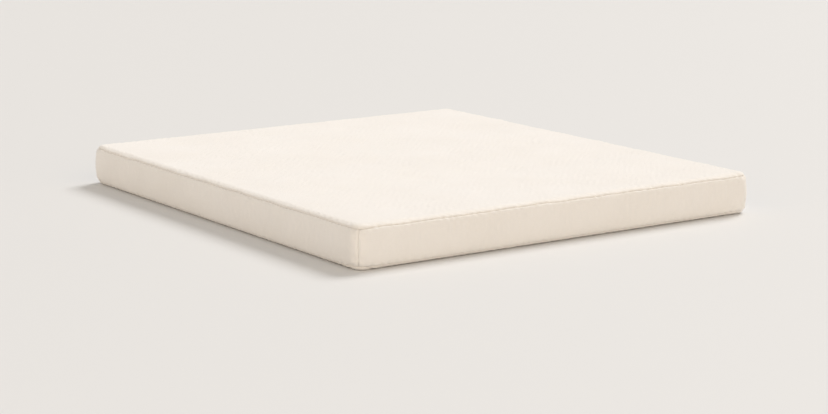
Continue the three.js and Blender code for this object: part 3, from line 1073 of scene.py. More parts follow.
def thread_finish(name, light, deep):
    material, tree, shader = principled(name)
    place = object_place(tree)
    wave = node(tree, "ShaderNodeTexWave", {"bands_direction": "DIAGONAL"}, Vector=place)
    wave.inputs["Scale"].default_value = 420.0
    wave.inputs["Distortion"].default_value = 1.5
    fuzz = noise(tree, place, 900.0, 3.0, 0.65)
    # painted shade: the grooves of the twist are darker in colour as well as lower in the bump; the fuzz is
    # the yarn's own uneven tone
    twist = math_node(tree, "MULTIPLY", wave.outputs["Fac"], fuzz)
    put(tree, shader.inputs["Base Color"], mix_color(tree, twist, deep, light))
    put(tree, shader.inputs["Roughness"], ramp(tree, fuzz, 0.3, 0.7, 0.62, 0.8))
    shader.inputs["Sheen Weight"].default_value = 0.15
    relief = node(tree, "ShaderNodeBump", Height=twist, Strength=0.4, Distance=0.0002)
    put(tree, shader.inputs["Normal"], relief.outputs["Normal"])
    return material


COIL_NYLON = nylon_finish("coil nylon", (0.84, 0.81, 0.755, 1), (0.75, 0.715, 0.65, 1))
SEWING_THREAD = thread_finish("sewing thread", (0.88, 0.84, 0.77, 1), (0.62, 0.57, 0.49, 1))
print("finishes:", COIL_NYLON.name, "and", SEWING_THREAD.name)

# %% the two spirals
COIL_PITCH = 0.0025
WIRE = 0.0008
HOOKED = 0.0017
TURN_POINTS = 10
HOOK_SWELL = 0.28
HOOK_SHARE = 0.09
WIRE_SIDES = 5
coil_low, coil_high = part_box("zip_coil_upper")
COIL_TURNS = int((coil_high[0] - coil_low[0]) / COIL_PITCH) - 1


def zip_coil(name, cad_node, side, offset):
    """One spiral; side is 1 above the middle of the zip and -1 below it."""
    turn = np.linspace(0, COIL_TURNS, COIL_TURNS * TURN_POINTS + 1)
    angle = 2 * math.pi * turn
    far = coil_high[2] - ZIP_HEIGHT
    middle, reach = (far - HOOKED / 2) / 2, (far + HOOKED / 2) / 2 - WIRE / 2
    deep = (coil_high[1] - coil_low[1]) / 2 - WIRE / 2
    along = coil_low[0] + COIL_PITCH * (turn + 0.25 + offset)
    path = np.column_stack(
        [
            along,
            (coil_low[1] + coil_high[1]) / 2 + deep * np.sin(angle),
            ZIP_HEIGHT + side * (middle - reach * np.cos(angle)),
        ]
    )
    out = np.column_stack([np.zeros_like(angle), np.sin(angle), -side * np.cos(angle)])
    head = 1 + HOOK_SWELL * np.exp(-(((turn % 1 + 0.5) % 1 - 0.5) / HOOK_SHARE) ** 2)
    points, faces = sweep(path, out, WIRE * head, WIRE, WIRE_SIDES)
    piece = wire_object(name, points, faces, COIL_NYLON)
    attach(piece, MATTRESS)
    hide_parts(cad_node)
    return piece


zip_coil("coil_upper", "zip_coil_upper", 1, 0.0)
zip_coil("coil_lower", "zip_coil_lower", -1, 0.5)
print("turns on each side:", COIL_TURNS)

# %% [markdown]
# ### Stitches
#
# The tapes are sewn behind the folded edges of the cover, so a row of lockstitches runs above and
# below the slit, and a bar tack, which is many stitches side by side, closes each end. A stitch is a
# short bow of thread that dives into the cloth at both ends. The rows follow the settled cloth, so
# the surface at the head end has to be readable at any place: first along the border, then up it.

# %% surface at the head end
head_columns = np.nonzero(fine_head)[0]
head_columns = head_columns[np.argsort(fine_band[head_columns, ZIP_LINE, 0])]
head_profiles = fine_band[head_columns][:, SEAM_LINE : LOWER_SEAM_LINE + 1]
head_x = head_profiles[:, :, 0].mean(1)


def head_surface(x, z):
    """How far out the cloth of the head border lies at a place across and up."""
    spot = np.interp(x, head_x, np.arange(len(head_x)))
    whole = np.minimum(spot.astype(int), len(head_x) - 2)
    part = (spot - whole)[:, None]
    heights = head_profiles[whole, :, 2] * (1 - part) + head_profiles[whole + 1, :, 2] * part
    outs = head_profiles[whole, :, 1] * (1 - part) + head_profiles[whole + 1, :, 1] * part
    return np.array([np.interp(-here, -row, out) for here, row, out in zip(z, heights, outs)])


print("surface above the zip:", head_surface(np.array([0.0]), np.array([0.09])).round(4))

# %% stitches
OUTWARD = (0.0, 1.0, 0.0)
STITCH_LENGTH = 0.0027
STITCH_GAP = 0.0006
THREAD = 0.00042
THREAD_SIDES = 5
STITCH_SPOTS = np.array([-1, -0.6, 0, 0.6, 1])
STITCH_BOW = np.array([-0.00035, 0.00012, 0.0002, 0.00012, -0.00035])


def stitch_row(start, end, lift=0.0):
    """Stitches along a line on the head border, from one (x, z) to the other."""
    start, end = np.array(start), np.array(end)
    length = np.linalg.norm(end - start)
    count = max(1, int(length / (STITCH_LENGTH + STITCH_GAP)))
    parts = []
    for number in range(count):
        centre = (number + 0.5) * length / count
        spots = centre + STITCH_LENGTH / 2 * STITCH_SPOTS
        place = start + (end - start) * spots[:, None] / length
        out = head_surface(place[:, 0], place[:, 1]) + lift + STITCH_BOW
        path = np.column_stack([place[:, 0], out, place[:, 1]])
        parts.append(sweep(path, OUTWARD, THREAD, THREAD, THREAD_SIDES))
    return joined(parts)


STITCH_FROM_SLIT = 0.0027
STITCH_FROM_TAPE_END = 0.004
BAR_TACK_STEP = 0.00055
ZIP_STITCH = SLIT_HALF + STITCH_FROM_SLIT
ZIP_STITCH_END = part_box("zip_tape_upper")[1][0] - STITCH_FROM_TAPE_END
rows_of_stitches = []
for side in (1, -1):
    z = ZIP_HEIGHT + side * ZIP_STITCH
    rows_of_stitches.append(stitch_row((-ZIP_STITCH_END, z), (ZIP_STITCH_END, z)))
for x in (-ZIP_STITCH_END, ZIP_STITCH_END):
    inner = x - math.copysign(STITCH_LENGTH, x)
    for z in np.arange(ZIP_HEIGHT - ZIP_STITCH, ZIP_HEIGHT + ZIP_STITCH, BAR_TACK_STEP):
        rows_of_stitches.append(stitch_row((inner, z), (x, z)))
zip_stitches = wire_object("zip_stitches", *joined(rows_of_stitches), SEWING_THREAD)
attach(zip_stitches, MATTRESS)
print("stitch points:", len(zip_stitches.data.vertices))

# %% [markdown]
# ### Slider and pull
#
# A slider is a die casting: two shield-shaped plates held apart by a wedge, with a bridge on the
# front plate for the pull. A plate with rounded edges and a hole is quickest as a filled flat curve:
# Blender cuts the holes, gives it thickness and rounds its edges in one go. It is then made into a
# mesh and stood upright.

# %% plates with rounded edges
def rounded_outline(corners, radius, steps=5):
    """A closed outline whose corners are cut by arcs."""
    points = []
    corners = [Vector(corner) for corner in corners]
    for index, corner in enumerate(corners):
        before = (corners[index - 1] - corner).normalized()
        after = (corners[(index + 1) % len(corners)] - corner).normalized()
        half = before.angle(after) / 2
        reach = radius / math.tan(half)
        centre = corner + (before + after).normalized() * radius / math.sin(half)
        start, end = corner + before * reach - centre, corner + after * reach - centre
        for step in range(steps + 1):
            way = start.lerp(end, step / steps).normalized() * radius
            points.append(tuple(centre + way))
    return points


def flat_curve(outlines, thickness, bevel):
    curve = bpy.data.curves.new("plate", "CURVE")
    curve.dimensions = "2D"
    curve.fill_mode = "BOTH"
    curve.extrude = thickness / 2 - bevel
    curve.bevel_depth = bevel
    curve.offset = -bevel
    curve.bevel_resolution = 2
    for outline_points in outlines:
        spline = curve.splines.new("POLY")
        spline.points.add(len(outline_points) - 1)
        for point, (x, z) in zip(spline.points, outline_points):
            point.co = (x, z, 0, 1)
        spline.use_cyclic_u = True
    return curve


def plate(outlines, low, high, bevel):
    """Points and faces of a plate whose outline lies in x and z, from y = low to y = high."""
    holder = new_object("plate", flat_curve(outlines, high - low, bevel))
    mesh = bpy.data.meshes.new_from_object(holder.evaluated_get(bpy.context.evaluated_depsgraph_get()))
    bm = bmesh.new()
    bm.from_mesh(mesh)
    bmesh.ops.remove_doubles(bm, verts=bm.verts, dist=1e-6)
    bmesh.ops.recalc_face_normals(bm, faces=bm.faces)
    points = np.array([vertex.co for vertex in bm.verts])
    faces = [[vertex.index for vertex in reversed(face.verts)] for face in bm.faces]
    bm.free()
    bpy.data.objects.remove(holder)
    bpy.data.meshes.remove(mesh)
    return np.column_stack([points[:, 0], points[:, 2] + (low + high) / 2, points[:, 1]]), faces


# %% metal finish
def metal_finish(name, light, deep):
    material, tree, shader = principled(name)
    place = object_place(tree)
    tarnish = noise(tree, place, 380.0, 4.0, 0.6)
    scratches = noise(tree, stretched(tree, place, (300, 2500, 2500)), 1.0, 3.0, 0.6)
    shade = math_node(tree, "MULTIPLY", tarnish, scratches)
    put(tree, shader.inputs["Base Color"], mix_color(tree, ramp(tree, shade, 0.1, 0.45), light, deep))
    shader.inputs["Metallic"].default_value = 1.0
    put(tree, shader.inputs["Roughness"], ramp(tree, scratches, 0.3, 0.7, 0.24, 0.42))
    relief = node(tree, "ShaderNodeBump", Height=scratches, Strength=0.1, Distance=0.0001)
    put(tree, shader.inputs["Normal"], relief.outputs["Normal"])
    return material


SATIN_NICKEL = metal_finish("satin nickel", (0.74, 0.725, 0.7, 1), (0.56, 0.545, 0.52, 1))

# %% the slider
slider_low, slider_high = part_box("zip_slider")
pull_low, pull_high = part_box("zip_pull_tab")
SLIDER_MIDDLE = (slider_low[0] + slider_high[0]) / 2
SLIDER_HALF = (slider_high[0] - slider_low[0]) / 2
SLIDER_WIDE = (slider_high[2] - slider_low[2]) / 2
PLATE = 0.001
PLATE_EDGE = 0.00028
PLATE_ROUND = 0.0012
PULL_PLAY = 0.0004
FRONT_FACE = pull_low[1] - PULL_PLAY
BRIDGE_TOP = slider_high[1]
BRIDGE_REACH = 0.0042
BRIDGE_STRAP = 0.0008
BRIDGE_WIDE = 0.0021
BRIDGE_SINK = 0.0002
BRIDGE_SQUARE = 0.6
BRIDGE_POINTS = 17
BRIDGE_SIDES = 12

# half of the shield, from its narrow end to its wide one: share of the length, share of the width
SHIELD = [(-1.0, 0.72), (-0.35, 0.8), (0.45, 1.0), (1.0, 0.9)]

# the raised field on the front plate: inset, how deep it is sunk, height and rounding
FIELD_INSET = 0.001
FIELD_SINK = 0.00005
FIELD_HEIGHT = 0.00022
FIELD_EDGE = 0.00008


def both_halves(half):
    """A closed outline from its lower half, given as (x, distance from the middle of the zip)."""
    lower = [(x, ZIP_HEIGHT - z) for x, z in half]
    return lower + [(x, ZIP_HEIGHT + z) for x, z in reversed(half)]


def slider_outline(shrink=0.0):
    """A shield: wide at the end where the tapes part, narrow where they come out joined."""
    long, wide = SLIDER_HALF - shrink, SLIDER_WIDE - shrink
    half = [(SLIDER_MIDDLE + along * long, across * wide) for along, across in SHIELD]
    return rounded_outline(both_halves(half), PLATE_ROUND - 0.5 * shrink)


def bridge():
    """The arch over the front plate that the pull hangs on: a strap along the zip."""
    turn = np.linspace(0, math.pi, BRIDGE_POINTS)
    rise = BRIDGE_TOP - FRONT_FACE - BRIDGE_STRAP / 2
    squared = np.sign(np.cos(turn)) * np.abs(np.cos(turn)) ** BRIDGE_SQUARE
    x = SLIDER_MIDDLE - BRIDGE_REACH * squared
    y = FRONT_FACE - BRIDGE_SINK + rise * np.sin(turn) ** BRIDGE_SQUARE
    path = np.column_stack([x, y, np.full_like(x, ZIP_HEIGHT)])
    return sweep(path, (0.0, 0.0, 1.0), BRIDGE_STRAP, BRIDGE_WIDE, BRIDGE_SIDES)


# the wedge that parts the spirals: its place along the slider, how far it reaches each way, half its
# width, the rounding of its corners and of its edges
WEDGE_PLACE = 0.55
WEDGE_BACK = 0.002
WEDGE_AHEAD = 0.0022
WEDGE_HALF = 0.0009
WEDGE_ROUND = 0.0002
WEDGE_EDGE = 0.00015
wedge_x = SLIDER_MIDDLE + WEDGE_PLACE * SLIDER_HALF
wedge_corners = [
    (wedge_x - WEDGE_BACK, ZIP_HEIGHT),
    (wedge_x, ZIP_HEIGHT - WEDGE_HALF),
    (wedge_x + WEDGE_AHEAD, ZIP_HEIGHT),
    (wedge_x, ZIP_HEIGHT + WEDGE_HALF),
]
wedge = rounded_outline(wedge_corners, WEDGE_ROUND)
slider_parts = [
    plate([slider_outline()], FRONT_FACE - PLATE, FRONT_FACE, PLATE_EDGE),
    plate([slider_outline(FIELD_INSET)], FRONT_FACE - FIELD_SINK, FRONT_FACE + FIELD_HEIGHT, FIELD_EDGE),
    plate([slider_outline()], slider_low[1], slider_low[1] + PLATE, PLATE_EDGE),
    plate([wedge], slider_low[1] + PLATE / 2, FRONT_FACE - PLATE / 2, WEDGE_EDGE),
    bridge(),
]
slider = wire_object("slider", *joined(slider_parts), SATIN_NICKEL)
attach(slider, "zip_slider")
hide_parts("zip_slider")
print("slider", [round(1000 * size, 1) for size in slider.dimensions], "mm")

# %% the pull
PULL_EDGE = 0.00025
PULL_ROUND = 0.0015
PULL_SHOULDER = 0.009
PULL_NECK = 0.004
PULL_WALL = 0.001
PULL_EYE = 0.0042
PULL_EYE_HALF = 0.0018
PULL_EYE_ROUND = 0.0007
PULL_HOLE_ROUND = 0.001
PULL_HOLE = [(0.0022, 0.0014), (0.0078, 0.0017)]
RIB_COUNT = 4
RIB_POINTS = 7
RIB_SIDES = 8
RIB_WIRE = 0.0006
RIB_PITCH = 0.0013
RIB_START = 0.0096
RIB_HALF = 0.0021
RIB_SINK = 0.00012


def pull_outlines():
    """A slim drop with an eye for the bridge at one end and a small hole at the other."""
    far, near = pull_low[0], pull_high[0]
    wide = (pull_high[2] - pull_low[2]) / 2
    half = [
        (far, 0.86 * wide),
        (far + PULL_SHOULDER, wide),
        (near - PULL_EYE - PULL_NECK, 0.72 * wide),
        (near, 0.82 * wide),
    ]
    eye = [(near - PULL_WALL - PULL_EYE, PULL_EYE_HALF), (near - PULL_WALL, PULL_EYE_HALF)]
    hole = [(far + along, half_width) for along, half_width in PULL_HOLE]
    return [
        rounded_outline(both_halves(half), PULL_ROUND),
        rounded_outline(both_halves(eye), PULL_EYE_ROUND),
        rounded_outline(both_halves(hole), PULL_HOLE_ROUND),
    ]


def upright_rib(x, y, low, high, steps, width, thickness):
    """A straight rounded rib, or the edge of a dent, up a front face."""
    path = np.column_stack([np.full(steps, x), np.full(steps, y), np.linspace(low, high, steps)])
    return sweep(path, OUTWARD, width, thickness, RIB_SIDES)


pull_parts = [plate(pull_outlines(), pull_low[1], pull_high[1], PULL_EDGE)]
for rib in range(RIB_COUNT):
    x = pull_low[0] + RIB_START + RIB_PITCH * rib
    low, high = ZIP_HEIGHT - RIB_HALF, ZIP_HEIGHT + RIB_HALF
    pull_parts.append(upright_rib(x, pull_high[1] - RIB_SINK, low, high, RIB_POINTS, RIB_WIRE, RIB_WIRE))
pull = wire_object("pull", *joined(pull_parts), SATIN_NICKEL)
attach(pull, "zip_pull")
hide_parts("zip_pull_tab")
print("pull", [round(1000 * size, 1) for size in pull.dimensions], "mm")

# %% [markdown]
# The tapes keep their CAD shapes. A zip tape is woven tightly, with fine ribs along it, and takes its
# weave from the object's own coordinates, since it is flat already.

# %% tapes
def tape_finish(name, light, deep, pitch):
    material, tree, shader = principled(name)
    parts = node(tree, "ShaderNodeSeparateXYZ", Vector=object_place(tree))
    flat = node(tree, "ShaderNodeCombineXYZ", X=parts.outputs["X"], Y=parts.outputs["Z"]).outputs[0]
    weave = node(tree, "ShaderNodeGroup", {"node_tree": WEAVE}, Vector=flat, Pitch=pitch, Twill=1.0)
    # painted shade: the colour follows the weave's height, darker between the ribs; the slubs in it are the
    # thread's own tone
    shade = math_node(tree, "MULTIPLY", weave.outputs["Height"], 0.6)
    put(tree, shader.inputs["Base Color"], mix_color(tree, shade, deep, light))
    put(tree, shader.inputs["Roughness"], ramp(tree, weave.outputs["Slub"], 0.3, 0.7, 0.6, 0.75))
    shader.inputs["Sheen Weight"].default_value = 0.1
    relief = node(tree, "ShaderNodeBump", Height=weave.outputs["Height"], Strength=0.35, Distance=pitch)
    put(tree, shader.inputs["Normal"], relief.outputs["Normal"])
    return material


def refinish(cad_node, material):
    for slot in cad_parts[cad_node].material_slots:
        slot.material = material


ZIP_TAPE = tape_finish("zip tape weave", (0.87, 0.84, 0.78, 1), (0.7, 0.66, 0.59, 1), 0.0005)
for name in ("zip_tape_upper", "zip_tape_lower"):
    refinish(name, ZIP_TAPE)
print("tape finish:", ZIP_TAPE.name)

# %% [markdown]
# A stop is a scrap of metal strip, bent round the tape and squeezed shut. From the front it is a
# small pad with soft edges and two dents from the tool.

# %% stops
STOP_ROUND = 0.0005
STOP_EDGE = 0.0003
DENT_WIDE = 0.0006
DENT_THICK = 0.0005
DENT_MARGIN = 0.0005
DENT_SINK = 0.0001
DENT_SHARES = (0.33, 0.67)
DENT_POINTS = 5


def zip_stop(cad_node):
    low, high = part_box(cad_node)
    corners = [(low[0], low[2]), (high[0], low[2]), (high[0], high[2]), (low[0], high[2])]
    parts = [plate([rounded_outline(corners, STOP_ROUND)], low[1], high[1], STOP_EDGE)]
    for share in DENT_SHARES:
        x = low[0] + share * (high[0] - low[0])
        start, end = low[2] + DENT_MARGIN, high[2] - DENT_MARGIN
        parts.append(upright_rib(x, high[1] - DENT_SINK, start, end, DENT_POINTS, DENT_WIDE, DENT_THICK))
    piece = wire_object(cad_node.replace("zip_", "crimped_"), *joined(parts), SATIN_NICKEL)
    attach(piece, MATTRESS)
    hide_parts(cad_node)


for name in ("zip_top_stop_upper", "zip_top_stop_lower", "zip_bottom_stop"):
    zip_stop(name)
print("stops made")

# %% [markdown]
# ### Care label
#
# The label is a satin ribbon, folded double, with its top edge turned in and stitched to the lower
# border. It is left blank. Its section is drawn as a line: down the back leaf, round the fold, and up
# the front leaf, which stands off a little because a fold never lies quite flat. The line is then
# carried across the ribbon's width and laid on the border's surface.

# %% the care label
LABEL_CLOTH = 0.00016
LABEL_FOLD = 0.0005
LABEL_BULGE = 0.0009
LABEL_GAP = 0.00012
LABEL_TOP = 0.0003
LABEL_BACK_DOWN = 0.0008
LABEL_CLOSING = 0.45
LABEL_BACK_POINTS = 15
LABEL_FOLD_POINTS = 7
LABEL_FRONT_POINTS = 17
LABEL_COLUMNS = 13
TURN_IN = 0.006
TURN_IN_START = 0.0012
TURN_IN_EDGE = 0.00032
TURN_IN_DEPTH = 0.00036
LABEL_LEAN = 0.1
LABEL_WAVES = 9.0
LABEL_LEAN_DROP = 0.04
LABEL_PLACE = 0.01
LABEL_STITCH_DOWN = 0.0032
LABEL_STITCH_IN = 0.001
label_low, label_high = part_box("care_label")


def label_section():
    """(height, distance off the border) from the hidden end of the back leaf to the turned-in end."""
    bottom_z, top_z = label_low[2] + LABEL_FOLD, label_high[2]
    down = np.linspace(top_z - LABEL_BACK_DOWN, bottom_z, LABEL_BACK_POINTS)
    back = [(z, LABEL_GAP) for z in down]
    turn = np.linspace(-math.pi / 2, math.pi / 2, LABEL_FOLD_POINTS + 2)[1:-1]
    fold = [
        (bottom_z - LABEL_FOLD * math.cos(angle), LABEL_GAP + LABEL_FOLD * (1 + math.sin(angle)))
        for angle in turn
    ]
    up = np.linspace(bottom_z, top_z - LABEL_TOP, LABEL_FRONT_POINTS)
    open_share = (up - bottom_z) / (top_z - bottom_z)
    stand = LABEL_GAP + 2 * LABEL_FOLD * (1 - LABEL_CLOSING * open_share)
    stand = stand + LABEL_BULGE * np.sin(math.pi * open_share**0.7) ** 2
    front = list(zip(up, stand))
    last = front[-1][1]
    over = [(top_z, last - LABEL_GAP), (top_z - LABEL_TOP, last - TURN_IN_EDGE)]
    turned_in = np.linspace(top_z - TURN_IN_START, top_z - TURN_IN, 4)
    inside = [(z, last - TURN_IN_DEPTH) for z in turned_in]
    return np.array(back + fold + front + over + inside)


section = label_section()
section_length = np.concatenate([[0], np.cumsum(np.linalg.norm(np.diff(section, axis=0), axis=1))])
label_x = np.linspace(label_low[0], label_high[0], LABEL_COLUMNS)
label_points = []
for x in label_x:
    lean = LABEL_LEAN * math.sin(LABEL_WAVES * (x - label_low[0]) / (label_high[0] - label_low[0]))
    hang = np.clip((label_high[2] - section[:, 0]) / LABEL_LEAN_DROP, 0, 1)
    off = section[:, 1] * (1 + lean * hang)
    out = head_surface(np.full(len(section), x), section[:, 0]) + off
    label_points.append(np.column_stack([np.full(len(section), x), out, section[:, 0]]))
label_points = np.array(label_points)
SATIN = cloth_finish(
    "label satin", (0.9, 0.895, 0.88, 1), (0.82, 0.815, 0.8, 1), 0.00024, bump=0.15, roughness=0.42, sheen=0.3
)
label = mesh_object("label_ribbon", label_points.reshape(-1, 3), grid_faces(numbered(label_points)), SATIN)
label_flat = np.zeros(label_points.shape)
label_flat[..., 0] = label_x[:, None]
label_flat[..., 1] = section_length
label_flat[..., 2] = LABEL_PLACE
set_cloth_attribute(label, label_flat.reshape(-1, 3))
as_cloth(label, LABEL_CLOTH)
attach(label, MATTRESS)
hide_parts("care_label")
label_stitch_height = label_high[2] - LABEL_STITCH_DOWN
front_start = LABEL_BACK_POINTS + LABEL_FOLD_POINTS
front_leaf = section[front_start : front_start + LABEL_FRONT_POINTS]
label_lift = float(np.interp(label_stitch_height, front_leaf[:, 0], front_leaf[:, 1]))
label_row = stitch_row(
    (label_low[0] + LABEL_STITCH_IN, label_stitch_height),
    (label_high[0] - LABEL_STITCH_IN, label_stitch_height),
    label_lift,
)
label_stitches = wire_object("label_stitches", *label_row, SEWING_THREAD)
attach(label_stitches, MATTRESS)
print("label ribbon", round(1000 * float(section_length[-1]), 1), "mm long before folding")

# %% [markdown]
# ## What is inside
#
# Under the cover lies the stack, sewn into a calico case and tied through at twenty places. Every
# tie squeezes the whole height of the stack together, most at the two faces and not at all in the
# middle. One function moves any point that way, so the case and all the layers keep their order and
# never cut into each other.

# %% how the ties squeeze the stack
TUFT_DEPTH = 0.0085
TUFT_SEAT = 0.016
TUFT_REACH = 0.066
INSIDE_STEP = 5


def tufted(points):
    moved = np.array(points, float)
    squeeze = (moved[..., 2] - ZIP_HEIGHT) / ZIP_HEIGHT
    dip = np.zeros(moved.shape[:-1])
    for place in TIE_PLACES:
        distance = np.hypot(moved[..., 0] - place[0], moved[..., 1] - place[1])
        dip = np.maximum(dip, smooth((TUFT_REACH - distance) / (TUFT_REACH - TUFT_SEAT)))
    moved[..., 2] -= TUFT_DEPTH * squeeze * dip
    return moved


def few_lines(places, tie_places):
    """Line numbers of a side: all at the corner arcs and near the ties, every fifth one between."""
    last = len(places) - 1
    spread = np.arange(0, last // 2, INSIDE_STEP)
    near_tie = np.abs(places[:, None] - tie_places[None]).min(1) < TUFT_REACH
    arcs = np.arange(ARC_STEPS + 1)
    return np.unique(np.concatenate([arcs, last - arcs, spread, last - spread, np.nonzero(near_tie)[0]]))


few_x = few_lines(flat_grid[:, 0, 0], TIE_PLACES[:, 0])
few_y = few_lines(flat_grid[0, :, 1], TIE_PLACES[:, 1])


def few_grid(inset, height):
    return with_height(spanned_grid(inset)[few_x][:, few_y], height)


few_numbers = np.arange(len(few_x) * len(few_y)).reshape(len(few_x), len(few_y))
few_ring = ring_of(few_numbers)
print("inside grid", few_numbers.shape, "ring", len(few_ring))

# %% [markdown]
# Calico is a plain weave of unbleached cotton. It keeps small brown flecks of seed husk, which no
# bleached cloth has.

# %% the calico case
CASE_INSET = HALF_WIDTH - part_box("inner_case_border")[1][0]
CASE_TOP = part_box("inner_case_top")[1][2]
CASE_CLOTH = 0.0007
CASE_PLACE = 0.02
CASE_FOLLOWS = 0.9
CALICO = cloth_finish(
    "unbleached calico", (0.83, 0.77, 0.66, 1), (0.71, 0.64, 0.52, 1), 0.0008, bump=0.35, roughness=0.9
)


FLECK_START = 0.72
FLECK_FULL = 0.75


def add_flecks(material, color):
    """Small dark specks, kept by a threshold on a fine noise."""
    tree = material.node_tree
    shader = tree.nodes["Principled BSDF"]
    place = node(tree, "ShaderNodeAttribute", {"attribute_name": CLOTH_ATTRIBUTE}).outputs["Vector"]
    specks = ramp(tree, noise(tree, place, 420.0, 2.0, 0.5), FLECK_START, FLECK_FULL)
    plain = shader.inputs["Base Color"].links[0].from_socket
    put(tree, shader.inputs["Base Color"], mix_color(tree, specks, plain, color))


add_flecks(CALICO, (0.36, 0.25, 0.14, 1))


def case_row(inset, height):
    """A row of the cover's section, moved in to the case."""
    share = (height - ZIP_HEIGHT) / ZIP_HEIGHT
    return CASE_INSET + CASE_FOLLOWS * inset, ZIP_HEIGHT + share * (CASE_TOP - ZIP_HEIGHT)


case_rows = [case_row(inset, height) for inset, height in ROWS]
case_band = np.stack([ring_of(few_grid(inset, height)) for inset, height in case_rows], 1)
case_along, _ = ring_lengths(case_band[:, SEAM_ROW])
case_down = np.concatenate([[0], np.cumsum(np.linalg.norm(np.diff(case_band[0], axis=0), axis=1))])
case_flat = np.stack(
    [
        np.broadcast_to(case_along[:, None], case_band.shape[:2]),
        np.broadcast_to(case_down[None], case_band.shape[:2]),
        np.full(case_band.shape[:2], CASE_PLACE),
    ],
    -1,
)


def case_panel(name, points, flat, faces, cad_node):
    piece = mesh_object(name, tufted(points), faces, CALICO)
    set_cloth_attribute(piece, flat)
    as_cloth(piece, CASE_CLOTH)
    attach(piece, MATTRESS)
    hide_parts(cad_node)


def case_face(name, height, inset, rim, cad_node, upward):
    grid = few_grid(inset, height)
    numbers = numbered(rim, few_numbers.size)
    faces = np.concatenate([grid_faces(few_numbers), band_faces(np.column_stack([few_ring, numbers]))])
    points = np.concatenate([grid.reshape(-1, 3), rim.reshape(-1, 3)])
    flat = points * (1, 1, 0) + (0, 0, CASE_PLACE)
    case_panel(name, points, flat, faces if upward else faces[:, ::-1], cad_node)


top_inset, top_height = case_rows[0]
low_inset, low_height = case_rows[-1]
upper_rim = case_band[:, 1 : SEAM_ROW + 1]
lower_rim = case_band[:, LOWER_SEAM_ROW:-1][:, ::-1]
case_face("case_top", top_height, top_inset, upper_rim, "inner_case_top", True)
case_face("case_bottom", low_height, low_inset, lower_rim, "inner_case_bottom", False)
border = case_band[:, SEAM_ROW : LOWER_SEAM_ROW + 1]
case_panel(
    "case_border",
    border.reshape(-1, 3),
    case_flat[:, SEAM_ROW : LOWER_SEAM_ROW + 1].reshape(-1, 3),
    band_faces(numbered(border)),
    "inner_case_border",
)
print("case seam at", round(case_rows[SEAM_ROW][1], 4))

# %% [markdown]
# ### Wadding, coir and latex
#
# Carded wool, cotton wadding and coir are all tangles of fibre, which differ in how thick the fibre
# is, how far it stands up and what colour it has. One group makes the tangle: noise that is folded
# about its middle gives thin curved lines, and twisting its coordinates makes them curl.

# %% loose fibre group
def make_fibre_group():
    tree, given, out = new_group(
        "loose fibres",
        [("Vector", VECTOR, None), ("Size", FLOAT, 0.01)],
        [("Height", FLOAT), ("Strands", FLOAT), ("Clouds", FLOAT)],
    )
    scale = math_node(tree, "DIVIDE", 1.0, given.outputs["Size"])
    total = None
    for shift in (0.0, 7.3, 15.1):
        moved = node(tree, "ShaderNodeVectorMath", {"operation": "ADD"})
        put(tree, moved.inputs[0], given.outputs["Vector"])
        moved.inputs[1].default_value = (shift, shift / 2, shift / 3)
        tangle = node(tree, "ShaderNodeTexNoise", Vector=moved.outputs[0], Scale=scale, Detail=3.0)
        tangle.inputs["Distortion"].default_value = 2.2
        away = math_node(tree, "ABSOLUTE", math_node(tree, "SUBTRACT", tangle.outputs["Fac"], 0.5))
        line = ramp(tree, away, 0.0, 0.045, 1.0, 0.0)
        total = line if total is None else math_node(tree, "MAXIMUM", total, line)
    soft = noise(tree, given.outputs["Vector"], math_node(tree, "MULTIPLY", scale, 0.35), 3.0, 0.6)
    put(tree, out.inputs["Height"], math_node(tree, "ADD", total, soft))
    put(tree, out.inputs["Strands"], total)
    put(tree, out.inputs["Clouds"], soft)
    return tree


FIBRES = make_fibre_group()


def fibre_finish(name, light, deep, size, relief_height, roughness=0.95):
    material, tree, shader = principled(name)
    fibres = node(tree, "ShaderNodeGroup", {"node_tree": FIBRES}, Vector=object_place(tree), Size=size)
    # painted shade: the colour follows the relief, lighter on the strands and raised clouds, darker in the
    # gaps and hollows of the tangle
    shade = math_node(tree, "MULTIPLY", fibres.outputs["Strands"], fibres.outputs["Clouds"])
    put(tree, shader.inputs["Base Color"], mix_color(tree, ramp(tree, shade, 0.0, 0.7), deep, light))
    rough = ramp(tree, fibres.outputs["Clouds"], 0.3, 0.7, roughness - 0.06, roughness)
    put(tree, shader.inputs["Roughness"], rough)
    shader.inputs["Sheen Weight"].default_value = 0.25
    height = fibres.outputs["Height"]
    relief = node(tree, "ShaderNodeBump", Height=height, Strength=0.6, Distance=relief_height)
    put(tree, shader.inputs["Normal"], relief.outputs["Normal"])
    return material


WOOL = fibre_finish("carded wool", (0.84, 0.79, 0.69, 1), (0.66, 0.59, 0.47, 1), 0.016, 0.002)
WADDING = fibre_finish("cotton wadding", (0.86, 0.83, 0.76, 1), (0.7, 0.65, 0.56, 1), 0.009, 0.001)
RUBBERED_COIR = fibre_finish(
    "rubbered coir", (0.42, 0.27, 0.14, 1), (0.13, 0.075, 0.035, 1), 0.011, 0.003, 0.8
)

# %% [markdown]
# Latex foam comes out of its mould with rows of pin holes, which let it dry and breathe. They are a
# mask on a square lattice: inside the holes the bump sinks, and the colour is darker, which is painted
# shade.

# %% latex finish
PIN_PITCH = 0.03
PIN_HOLE = 0.14
PIN_FACING = 0.7


